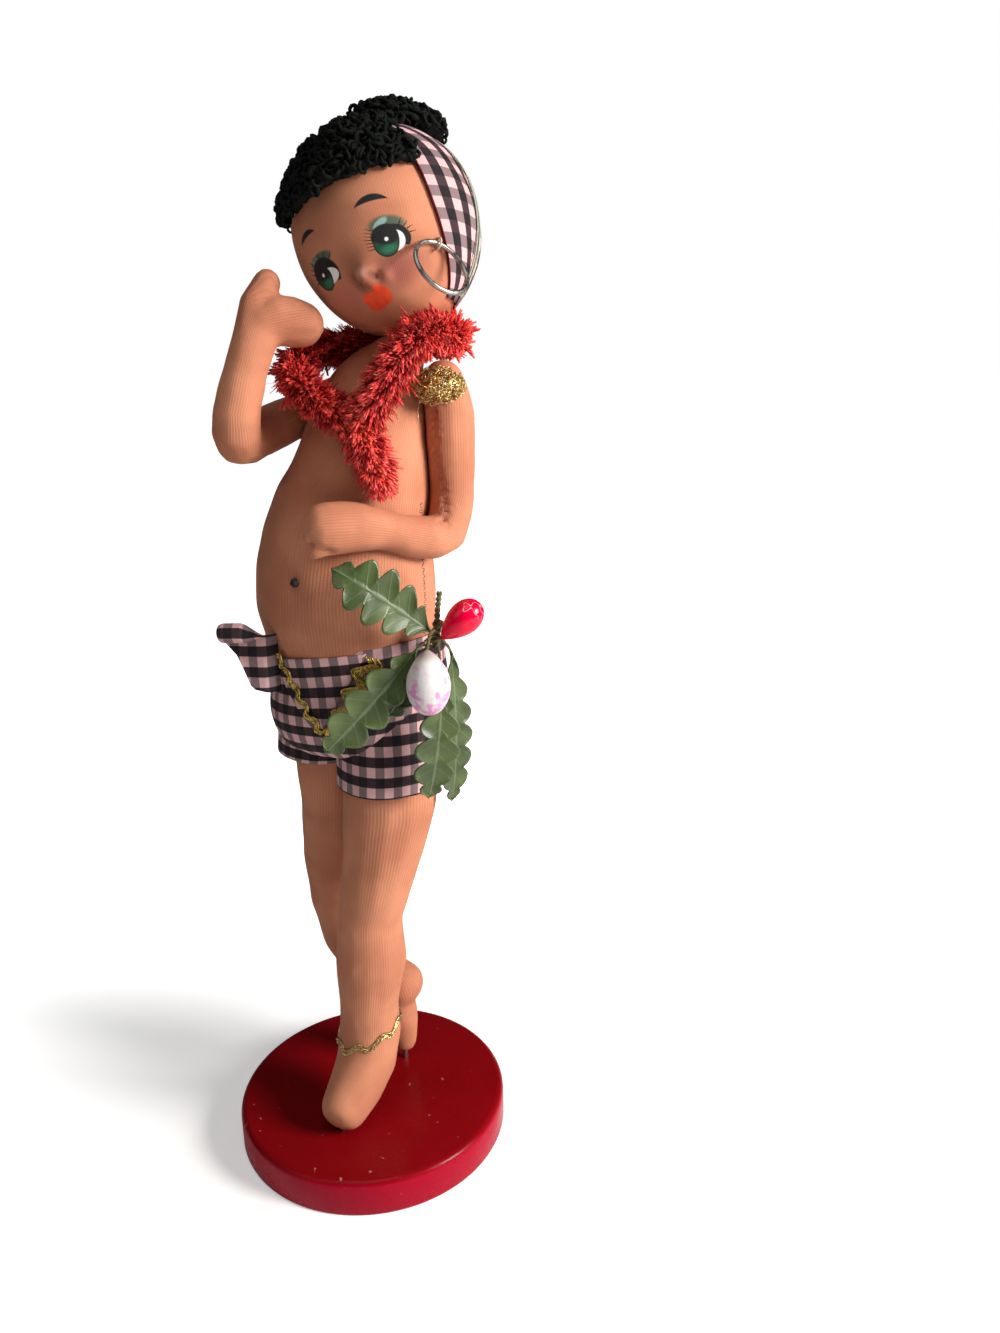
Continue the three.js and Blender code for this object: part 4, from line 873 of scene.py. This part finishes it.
flare_shape = mapped_grid(60, 60, flare_place, flare_spread)
flare = finished("flare_cloth", flare_shape, "root", shorts_cloth, "gingham", "hip_flare")
thickened(flare, 0.7 * MM)


# Scarf: a kerchief folded round the back of the head, its front edge bound in thin red
# and its long top edge showing the pale selvage, with a few soft folds behind the ear.
SCARF_TURN = math.radians(-15.7)
SCARF_TOP, SCARF_LOW, SCARF_LONG = 21.0, -28.4, 58 * MM
SCARF_EDGE = smooth_line([(-14.4, 21), (-10.2, 12), (-9.2, 2.4), (-7.2, -8), (-2.8, -19), (4, -30)], 10)


def scarf_front(z):
    """How far forward the front edge lies at a height, in the head's frame turned to the scarf."""
    stretches = zip(SCARF_EDGE, SCARF_EDGE[1:])
    before, after = min(stretches, key=lambda pair: abs((pair[0][1] + pair[1][1]) / 2 - z))
    share = (z - before[1]) / (after[1] - before[1])
    return before[0] + (after[0] - before[0]) * share


def egg_radius(z):
    """The head's radius at a height in its own frame, both in millimetres."""
    reach = CROWN_RISE if z > 0 else CHIN_DROP
    return HEAD_R / MM * math.sqrt(max(0.0, 1 - (z * MM / reach) ** 2))


def round_head(angle, radius, z):
    return Vector((math.sin(angle) * radius, -math.cos(angle) * radius, z))


def on_head(spot):
    """Takes a place in the scarf's frame, in millimetres, into the doll's."""
    return head_frame @ (Matrix.Rotation(SCARF_TURN, 3, "Z") @ spot * MM)


def scarf_spot(across, down):
    z = SCARF_TOP + (SCARF_LOW - SCARF_TOP) * down
    radius = egg_radius(z)
    start = math.acos(max(-1.0, min(1.0, -scarf_front(z) / radius)))
    return z, radius, start, start + (2 * math.pi - 2 * start) * across


def scarf_place(across, down):
    z, radius, _, angle = scarf_spot(across, down)
    fold = 0.45 * math.sin(3.2 * z / 10 + 5 * angle) * math.sin(math.pi * across) - 0.5 * down ** 6
    out = round_head(angle, radius, z * (HEAD_R / CHIN_DROP) ** 2).normalized()
    return on_head(round_head(angle, radius, z) + out * (0.85 + fold))


def scarf_spread(across, down):
    z, _, start, angle = scarf_spot(across, down)
    return z * MM, (angle - start) * 26 * MM + CHECK_HIGH


scarf_cloth, net, shader, checks = gingham_material("scarf_gingham", CHECK_WIDE, CHECK_HIGH)
axes = net.axes(net.wrap())
binding = net.span(axes["Y"], CHECK_HIGH + 0.3 * MM, CHECK_HIGH + 0.5 * MM, 1.0, 0.0)
selvage = net.span(axes["X"], (SCARF_TOP - 0.7) * MM, (SCARF_TOP - 0.5) * MM)
checks = net.mix(binding, checks, (0.13, 0.008, 0.012))
net.cover(shader, net.mix(selvage, checks, (0.6, 0.55, 0.45)))
scarf_shape = mapped_grid(150, 60, scarf_place, scarf_spread)
scarf = finished("scarf_cloth", scarf_shape, "head", scarf_cloth, "gingham", "headscarf")
thickened(scarf, 0.8 * MM)

piping = two_tone("scarf_piping", 0.6, 1200, (0.3, 0.32, 0.24), (0.46, 0.47, 0.38))
for turn in (116, 121):
    line = []
    for step in range(60):
        z = 20.4 - 48 * step / 59
        line.append(on_head(round_head(math.radians(turn), egg_radius(z) + 1.65, z * 1.03)))
    finished(f"scarf_piping_{turn}", cords([line], 0.3 * MM), "head", piping, "thread")


# Hair: black boucle yarn sewn down in small tight curls, over the brow and in a pile on
# the crown. Small closed curls lie all over a lumpy mass of the same yarn.
yarn, net, shader = material("boucle_yarn", 0.8, Sheen_Weight=0.0)
shader.inputs["Specular IOR Level"].default_value = 0.12
fuzz = net.noise(net.place(), 1400, 3)
net.cover(shader, net.mix(fuzz, (0.001, 0.0014, 0.001), (0.009, 0.0115, 0.009)), fuzz, 0.35 * MM, 0.8)
CURL_R, YARN_R = 1.3 * MM, 0.52 * MM


def surface_spots(mesh, spacing, seed, wanted=None):
    """Places and normals scattered evenly over a mesh, one to each square of the given spacing."""
    chance = random.Random(seed)
    corners = mesh.vertices
    spots = []
    mesh.calc_loop_triangles()
    owed = 0.0
    for triangle in mesh.loop_triangles:
        a, b, c = (corners[index].co for index in triangle.vertices)
        owed += triangle.area / spacing ** 2
        while owed > 0:
            owed -= 1
            u, v = chance.random(), chance.random()
            if u + v > 1:
                u, v = 1 - u, 1 - v
            spot = a + (b - a) * u + (c - a) * v
            if wanted is None or wanted(spot, triangle.normal):
                spots.append((spot, triangle.normal.copy()))
    return spots, chance


def any_way(chance):
    return Vector((chance.uniform(-1, 1), chance.uniform(-1, 1), chance.uniform(-1, 1)))


def facing_z(way):
    """The turn that takes Z to a given way."""
    return way.to_track_quat("Z", "Y").to_matrix().to_4x4()


def torus(radius, thickness, sides, steps):
    """A closed ring of round yarn or wire about Z."""
    shape = bmesh.new()
    upright = Matrix.Translation((radius, 0, 0)) @ Matrix.Rotation(math.pi / 2, 4, "X")
    ring = bmesh.ops.create_circle(shape, segments=sides, radius=thickness, matrix=upright)["verts"]
    return spun(shape, ring + shape.edges[:], steps)


def on_outside(spot, normal):
    return (spot - HEAD_AT).dot(normal) > 0.1 * (spot - HEAD_AT).length


curl = as_mesh(torus(CURL_R, YARN_R, 5, 9), "curl")
for node, seed in (("hair_fringe", 5), ("hair_topknot", 11)):
    mass = soft_copy(node, 1.2 * MM, 3)
    sculpt(mass, lambda place, normal: normal * 0.6 * MM * noise.noise(place / (1.6 * MM)))
    spots, chance = surface_spots(mass, 1.9 * MM, seed, on_outside)
    hair = bmesh.new()
    hair.from_mesh(mass)
    for spot, normal in spots:
        facing = (normal * 0.5 + any_way(chance)).normalized()
        size = chance.uniform(0.8, 1.2)
        middle = spot + normal * chance.uniform(-0.1, 0.7) * MM
        copy = curl.copy()
        copy.transform(Matrix.Translation(middle) @ facing_z(facing) @ Matrix.Scale(size, 4))
        hair.from_mesh(copy)
        bpy.data.meshes.remove(copy)
    finished(node + "_curls", hair, "head", yarn, "yarn_curls", node)


# Earring: a dull pewter hoop of round wire, held at the ear by one loop of pale thread
# that is sewn through the cheek beside the scarf.
EAR_AT = head_frame @ (Vector((21.4, -12.6, -18.2)) * MM)
HOOP_R, HOOP_WIRE = 8.7 * MM, 0.72 * MM
HOOP_NORMAL = Vector((0.786, -0.285, 0.548)).normalized()
HOOP_DOWN = Vector((0.378, -0.48, -0.792)).normalized()


def wire_ring(centre, normal, radius, wire, sides, steps):
    shape = torus(radius, wire, sides, steps)
    bmesh.ops.transform(shape, verts=shape.verts, matrix=Matrix.Translation(centre) @ facing_z(normal))
    return shape


pewter, net, shader = material("pewter", 0.32, Metallic=1.0)
worn = net.noise(net.place(), 700, 3)
net.cover(shader, net.mix(worn, (0.24, 0.225, 0.2), (0.52, 0.5, 0.46)))
net.put(shader.inputs["Roughness"], net.span(worn, 0.3, 0.7, 0.24, 0.45))
hoop = wire_ring(EAR_AT + HOOP_DOWN * HOOP_R, HOOP_NORMAL, HOOP_R, HOOP_WIRE, 14, 120)
finished("hoop_wire", hoop, "earring", pewter, "earring_pewter", "earring_hoop")
pale_thread = two_tone("pale_thread", 0.8, 2200, (0.42, 0.33, 0.26), (0.62, 0.5, 0.42))
loop = wire_ring(EAR_AT, HOOP_NORMAL.cross(HOOP_DOWN), 1.6 * MM, 0.36 * MM, 8, 40)
finished("ear_stitch", loop, "head", pale_thread, "thread", "earring_stitch")


# Garland: red straw wound and clipped into a bushy rope, hung round the neck and crossed
# at the front, where its end hangs free. Short blades lean from it towards its end.
straw, net, shader = material("red_straw", 0.55)
place = net.place()
streak = net.noise(place, 650, 2)
patch = net.noise(place, 110, 2)
tip = net.node("ShaderNodeAttribute", attribute_name="tip").outputs["Fac"]
# Blade roots and the rope's core are painted deep red as painted shade, and blade tips lighter as painted
# light.
red = net.mix(net.span(tip, 0.1, 0.95), (0.62, 0.01, 0.014), (0.96, 0.11, 0.085))
red = net.mix(net.span(streak, 0.5, 0.8, 0.0, 0.4), red, (0.9, 0.25, 0.18))
red = net.mix(net.span(patch, 0.55, 0.75, 0.0, 0.4), red, (0.85, 0.1, 0.03))
net.cover(shader, red, streak, 0.2 * MM, 0.5)
BUNDLE, FLATNESS = 60, 0.14


def bristled(core, spacing, seed, line):
    """A rope's core with flat blades all over it, which lean along its line, added in small bundles."""
    spots, chance = surface_spots(core, spacing, seed)
    shape = bmesh.new()
    shape.from_mesh(core)
    bpy.data.meshes.remove(core)
    shape.verts.layers.float.new("tip")
    few = bmesh.new()
    for count, (spot, _) in enumerate(spots):
        brightness = few.verts.layers.float.get("tip") or few.verts.layers.float.new("tip")
        stray = any_way(chance)
        _, _, foot, way = near_line(spot, line)
        out = (spot - foot).normalized()
        facing = (out + way * chance.uniform(0.5, 1.7) + stray * 0.35).normalized()
        broad = (facing.cross(out) + stray * 0.3).normalized()
        thin = facing.cross(broad).normalized()
        length, width = chance.uniform(3.0, 5.0) * MM, chance.uniform(0.28, 0.55) * MM
        shade = chance.uniform(0.2, 1)
        middle = spot + facing * (length * 0.5 - 0.7 * MM)
        turn = Matrix((broad, thin, facing)).transposed().to_4x4()
        blade = bmesh.ops.create_cone(
            few, cap_ends=True, cap_tris=True, segments=4, radius1=width, radius2=width * 0.7, depth=length,
            matrix=Matrix.Translation(middle) @ turn @ Matrix.Diagonal((1, FLATNESS, 1, 1)))
        for vertex in blade["verts"]:
            # Each blade's tip takes a random painted light and its root a fixed painted shade.
            vertex[brightness] = shade if (vertex.co - middle).dot(facing) > 0 else 0.1
        if (count + 1) % BUNDLE == 0 or count == len(spots) - 1:
            bundle = bpy.data.meshes.new("bundle")
            few.to_mesh(bundle)
            shape.from_mesh(bundle)
            bpy.data.meshes.remove(bundle)
            few.clear()
    few.free()
    return shape


LEI_FRONT = (21, -17.8, 268)
LEI_RIGHT_END = (-6.4, -2, 289.6)
LEI_LEFT_END = (37, 3.8, 295.4)
LEI_BACK = (18, 25.6, 293)
LEI_RUNS = {
    "lei_right": [LEI_RIGHT_END, (-6, -11.4, 284.6), (0.6, -17.4, 279.4), (10.6, -19, 273.6), LEI_FRONT],
    "lei_left": [LEI_LEFT_END, (34.8, -5.6, 293), (32, -12, 286), (27, -16, 276), LEI_FRONT,
                 (24.4, -18.4, 261), (27.6, -18, 252.6)],
    "lei_back_right": [LEI_BACK, (6, 19.6, 292.6), (-3, 9, 291.4), LEI_RIGHT_END],
    "lei_back_left": [LEI_BACK, (29, 23.4, 293.4), (36.6, 14.6, 294.6), LEI_LEFT_END],
}
bend_in = bulge(Vector(LEI_LEFT_END) * MM, 8 * MM, Vector((-2.4, 0, 0)) * MM)
for seed, (node, line) in enumerate(LEI_RUNS.items()):
    core = solid_copy(node)
    sculpt(core, lambda place, normal: normal * -1.0 * MM + bend_in(place, normal))
    rope = bristled(core, 0.7 * MM, seed, points(*line))
    finished(node + "_straw", rope, "root", straw, "red_straw", node)


# Gold trims: metal-wrapped thread, laid side by side in wavy braid for the wrap and the
# ankle, and left as a loose tuft of tinsel on the left shoulder.
gold, net, shader = material("gold_thread", 0.32, Metallic=1.0)
place = net.place()
glint = net.noise(place, 1500, 2)
tarnish = net.noise(place, 260, 2)
leafed = net.mix(net.span(glint, 0.3, 0.7), (0.3, 0.19, 0.035), (0.8, 0.58, 0.17))
leafed = net.mix(net.span(tarnish, 0.45, 0.75, 0.0, 0.55), leafed, (0.12, 0.075, 0.015))
net.cover(shader, leafed, glint, 0.2 * MM, 0.35)
net.put(shader.inputs["Roughness"], net.span(glint, 0.3, 0.7, 0.2, 0.5))
pale_gold, net, shader = material("pale_gold_thread", 0.32, Metallic=1.0)
glint = net.noise(net.place(), 1500, 2)
pale = net.mix(net.span(glint, 0.34, 0.66), (0.3, 0.18, 0.05), (0.9, 0.7, 0.34))
net.cover(shader, pale, glint, 0.3 * MM, 0.8)


def joined(*meshes):
    shape = bmesh.new()
    for mesh in meshes:
        shape.from_mesh(mesh)
        bpy.data.meshes.remove(mesh)
    return shape


def wavy_cords(start, end, cord_count, width, sway, waves, thickness):
    """Cords side by side, waving down the front of the wrap between two points."""
    along = end - start
    side = Vector((-along.y, along.x)).normalized()
    lines = []
    for cord in range(cord_count):
        offset = width * (cord / (cord_count - 1) - 0.5)
        line = []
        for step in range(waves * 16 + 1):
            share = step / (waves * 16)
            angle = 2 * math.pi * waves * share
            spot = start + along * share + side * (offset + sway * math.sin(angle))
            line.append(hip_front(spot.x, spot.y, 2.3 + 0.25 * math.sin(angle * 2 + cord * 2.1)))
        lines.append(line)
    return cords(lines, thickness * MM)


narrow = wavy_cords(Vector((-9.6, 196)), Vector((6.2, 170.6)), 3, 1.5, 0.9, 5, 0.34)
finished("ricrac_right_thread", narrow, "root", gold, "gold_braid", "ricrac_right")
wide = wavy_cords(Vector((22.6, 196.2)), Vector((9, 168.6)), 7, 3.0, 1.8, 4, 0.3)
finished("ricrac_left_thread", wide, "root", gold, "gold_braid", "ricrac_left")
ANKLE_X, ANKLE_Y = 4.4, -6.6
ankle = faces_of(left_leg)
lines = []
for cord in range(3):
    line = []
    for step in range(144):
        angle = 2 * math.pi * step / 144
        rise = 46.5 + 1.1 * math.sin(8 * angle) + 4 * math.cos(angle - 0.7) + 0.75 * (cord - 1)
        outside = Vector((ANKLE_X + 40 * math.cos(angle), ANKLE_Y + 40 * math.sin(angle), rise)) * MM
        skin_at, face_out, _, _ = ankle.ray_cast(outside, Vector((ANKLE_X, ANKLE_Y, rise)) * MM - outside)
        line.append(skin_at + face_out * (0.45 + 0.2 * math.sin(16 * angle + cord * 2.1)) * MM)
    lines.append(line)
finished("anklet_thread", cords(lines, 0.33 * MM, True), "root", pale_gold, "gold_braid", "anklet")
tuft = soft_copy("shoulder_tinsel", 0.8 * MM, 2, -0.9 * MM)
spots, chance = surface_spots(tuft, 0.8 * MM, 43, lambda spot, normal: spot.y < 8 * MM)
lines = [points((32.8, -1.4, 275), (32.4, -1.9, 271.5), (32.6, -1.8, 268.6))]
for spot, normal in spots:
    across = any_way(chance).normalized()
    radius = chance.uniform(0.6, 1.7) * MM
    rise, wide = normal * radius * 0.9, across * radius
    lines.append([spot + rise * math.sin(step * 0.5) + wide * (math.cos(step * 0.5) + 0.2 * step / 9)
                  for step in range(9)])
shape = joined(cords(lines, 0.13 * MM), tuft)
finished("shoulder_tinsel_thread", shape, "root", pale_gold, "gold_braid", "shoulder_tinsel")


# Leaves: waxed artificial oak leaves, stamped with a raised midrib and soft side veins,
# each on its own wrapped wire. Their lobes are round and point towards the tip.
waxed, net, shader = material("waxed_leaf", 0.36, Coat_Weight=0.15, Coat_Roughness=0.3)
axes = net.axes(net.wrap())
off_rib = net.math("ABSOLUTE", axes["X"])
rib = net.span(off_rib, 0.0, 0.13, 1.0, 0.0)
slanted = net.math("SUBTRACT", axes["Y"], net.math("MULTIPLY", off_rib, 0.12))
veins = net.math("SINE", net.math("MULTIPLY", slanted, 2 * math.pi * 9))
side_veins = net.span(veins, 0.82, 1.0)
bloom = net.noise(net.place(), 95, 3)
green = net.mix(net.span(bloom, 0.3, 0.7), (0.04, 0.064, 0.014), (0.082, 0.122, 0.032))
green = net.mix(net.math("MULTIPLY", side_veins, 0.12), green, (0.17, 0.27, 0.11))
# The midrib is painted paler, partly its own paler colour and partly a painted sheen along it.
green = net.mix(net.math("MULTIPLY", rib, 0.22), green, (0.3, 0.4, 0.25))
relief = net.math("MULTIPLY_ADD", rib, 0.8, net.math("MULTIPLY", side_veins, 0.3))
relief = net.math("MULTIPLY_ADD", net.noise(net.wrap(), 60, 2), 0.25, relief)
net.cover(shader, green, relief, 0.35 * MM, 0.45)
# Each leaf: its base, its tip, the way its face looks, its width, arch, curl and count of lobes.
LEAVES = {
    "leaf_upper": ((40.6, -13.6, 205.4), (21, -34.6, 227.6), (0.6, -0.75, 0.3), 19.5, 1.6, 5, 5),
    "leaf_lower": ((36.4, -14.6, 199.4), (13.6, -35.6, 168), (0.5, -0.85, -0.1), 16.5, 2.4, 1, 5),
    "leaf_middle": ((40.8, -7, 186), (37.6, -12.6, 147.4), (0.7, -0.7, 0), 15.5, 2.4, 1.5, 5),
    "leaf_outer": ((38.6, 3.4, 194), (36, 6.4, 138.6), (0.9, -0.4, 0), 13.5, 2, 1, 7),
    "leaf_small": ((35, -10.6, 195.6), (29.4, -22.4, 178.4), (0.6, -0.8, 0), 12.5, 1, 0, 3),
}


def leaf_shape(base, tip, look, wide, arch, curl, lobes):
    """A lobed leaf from base to tip, with its upper face looking the given way."""
    base, look = Vector(base), Vector(look)
    along = Vector(tip) - base
    length = along.length
    along.normalize()
    up = (look - along * look.dot(along)).normalized()
    across = along.cross(up)

    def half(t):
        body = math.sin(math.pi * (0.1 + 0.72 * t))
        lobe = 0.34 + 0.66 * (math.sin(math.pi * (lobes - 0.5) * t) ** 2 + 0.006) ** 0.3
        end = math.sqrt(max(0.0, 1 - max(0.0, (t - 0.88) / 0.12) ** 2))
        return wide / 2 * body * lobe * min(1.0, 0.05 + 6 * t) * max(end, 0.03)

    def place(share, t):
        side = 2 * share - 1
        reach = half(t) * side
        slant = 0.14 * abs(reach) - 0.1 * wide * t * abs(side)
        lift = arch * math.sin(math.pi * t) + 0.9 * abs(side) ** 1.5 - curl * max(0.0, t - 0.72) ** 2 * 9
        ruffle = 0.3 * abs(side) * math.sin(2 * math.pi * lobes * t + side)
        return (base + along * (t * length + slant) + across * reach + up * (lift + ruffle)) * MM

    return mapped_grid(18, lobes * 24, place, lambda share, t: (2 * share - 1, t))


for name, shape in LEAVES.items():
    piece = finished(name + "_waxed", leaf_shape(*shape), "root", waxed, "leaf_fabric", name)
    thickened(piece, 0.45 * MM)


# Corsage wires: paper-wrapped florist wire in brown and green, twisted in pairs, bound in
# a short knot at the waistband with one loose end standing up.
wrapped, net, shader = material("florist_wire", 0.7)
place = net.place()
turns = net.noise(place, 700, 2)
brown_green = net.mix(net.span(turns, 0.4, 0.6), (0.13, 0.07, 0.025), (0.12, 0.15, 0.05))
net.cover(shader, brown_green, net.noise(place, 1400, 2), 0.2 * MM, 0.6)
KNOT_LOW, KNOT_MIDDLE, KNOT_HIGH = (39.2, -7.6, 199.4), (39.5, -7.5, 203), (39.8, -7.4, 206.4)
EGG_AT, EGG_R, EGG_LONG = Vector((41.8, -17.6, 189.9)), 7.0, 21.4
BUD_FROM, BUD_TO, BUD_R, BUD_LONG = Vector((43, -10.9, 202.4)), Vector((50.4, -6.2, 210)), 5.2, 17


def twisted(line, radius, strand, pitch, steps=10):
    """Two strands of wire twisted round each other along a smooth line, as one mesh."""
    middle = [Vector(point) for point in smooth_line(line, steps)]
    strands = []
    for start in (0.0, math.pi):
        run = 0.0
        strand_line = []
        for index, point in enumerate(middle):
            last = middle[max(index - 1, 0)]
            ahead_of = middle[min(index + 1, len(middle) - 1)] - last
            run += (point - last).length
            side = ahead_of.cross(Vector((0.3, 0.2, 1))).normalized()
            other = ahead_of.normalized().cross(side)
            angle = start + 2 * math.pi * run / pitch
            spot = point + side * radius * math.cos(angle) + other * radius * math.sin(angle)
            strand_line.append(spot * MM)
        strands.append(strand_line)
    return cords(strands, strand * MM)


pin = twisted([(31.2, -3.8, 198), (34, -4.6, 198), (38.6, -7.4, 198.6), KNOT_LOW], 0.35, 0.36, 2.4)
bundle = twisted([KNOT_LOW, KNOT_MIDDLE, KNOT_HIGH], 0.75, 0.75, 4)
loose = twisted([KNOT_HIGH, (40, -7.2, 210), (40.3, -6, 216.4)], 0.5, 0.52, 3.4)
finished("corsage_twist", joined(pin, bundle, loose), "root", wrapped, "florist_wire", "corsage_knot")
for name, (base, tip, *_) in LEAVES.items():
    start, base, tip = Vector(KNOT_MIDDLE), Vector(base), Vector(tip)
    bend = start.lerp(base, 0.5) + Vector((0.6, -0.6, 0.8))
    root = start + (bend - start).normalized() * 1.6
    stem = twisted([root, bend, base, base.lerp(tip, 0.12)], 0.25, 0.34, 2.0)
    finished(name + "_stem", stem, "root", wrapped, "florist_wire")
EGG_TOP = EGG_AT + Vector((0, 0, EGG_LONG / 2))
hook = twisted([(40.6, -8.8, 204), (41.6, -12.2, 205.4), (41.8, -15.6, 204.6), EGG_TOP], 0.3, 0.32, 2.2)
finished("egg_hook", hook, "root", wrapped, "florist_wire", "egg_stem")
bud_wire = twisted([(40.4, -8.4, 203), (41.6, -9.6, 202.6), BUD_FROM], 0.3, 0.32, 2.2)
finished("bud_wire", bud_wire, "root", wrapped, "florist_wire", "bud_stem")


# Egg: a turned or blown egg with a short neck, chalky white, dabbed with pink that
# gathers at its lower end. Bud: a glossy red berry, worn to white in a few scratches.
def fruit(start, way, radius, length, widest, point):
    """A berry spun from its stem end, which narrows to a point, to its round end."""
    outline = []
    for step in range(49):
        t = step / 48
        if t < widest:
            share = math.sin(math.pi / 2 * t / widest) ** point
        else:
            share = math.sqrt(max(0.0, 1 - ((t - widest) / (1 - widest)) ** 2))
        outline.append((radius * MM * share, -length * MM * t))
    shape = turned(list(reversed(outline)), 72)
    turn = Vector((0, 0, -1)).rotation_difference(Vector(way).normalized()).to_matrix().to_4x4()
    bmesh.ops.transform(shape, verts=shape.verts, matrix=Matrix.Translation(Vector(start) * MM) @ turn)
    return shape


speckled, net, shader = material("speckled_egg", 0.55)
place = net.place()
height = net.axes(place)["Z"]
lower = net.span(height, (EGG_AT.z + 8) * MM, (EGG_AT.z - 10) * MM, 0.0, 0.17)
dabs = net.math("ADD", net.noise(place, 360, 4), lower)
pink = net.mix(net.noise(place, 500, 2), (0.74, 0.30, 0.60), (0.76, 0.15, 0.50))
chalk = net.mix(net.noise(place, 600, 3), (0.66, 0.61, 0.6), (0.86, 0.82, 0.81))
neck = net.span(height, (EGG_AT.z + 6.5) * MM, (EGG_AT.z + 10) * MM)
chalk = net.mix(neck, chalk, (0.36, 0.3, 0.26))
dabbed = net.mix(net.span(dabs, 0.56, 0.72, 0.0, 0.85), chalk, pink)
net.cover(shader, dabbed, net.noise(place, 900, 2), 0.12 * MM, 0.5)
egg = fruit(EGG_TOP, EGG_AT - EGG_TOP, EGG_R, EGG_LONG, 0.54, 0.72)
finished("egg_speckled", egg, "root", speckled, "spotted_egg", "egg_fruit")
berry_red, net, shader = material("berry_lacquer", 0.22, Coat_Weight=0.3, Coat_Roughness=0.1)
shader.inputs["Specular IOR Level"].default_value = 0.2
place = net.place()
ridge = net.math("ABSOLUTE", net.math("SUBTRACT", net.noise(place, 200, 1), 0.5))
scuffs = net.span(ridge, 0.0, 0.009, 1.0, 0.0)
scuffs = net.math("MULTIPLY", scuffs, net.span(net.axes(place)["Z"], 208 * MM, 211 * MM))
net.cover(shader, net.mix(scuffs, (0.8, 0.0, 0.04), (0.85, 0.7, 0.7)))
bud = fruit(BUD_FROM, BUD_TO - BUD_FROM, BUD_R, BUD_LONG, 0.62, 0.85)
finished("bud_lacquered", bud, "root", berry_red, "red_berry", "bud_fruit")


bpy.context.scene.view_settings.view_transform = "Standard"
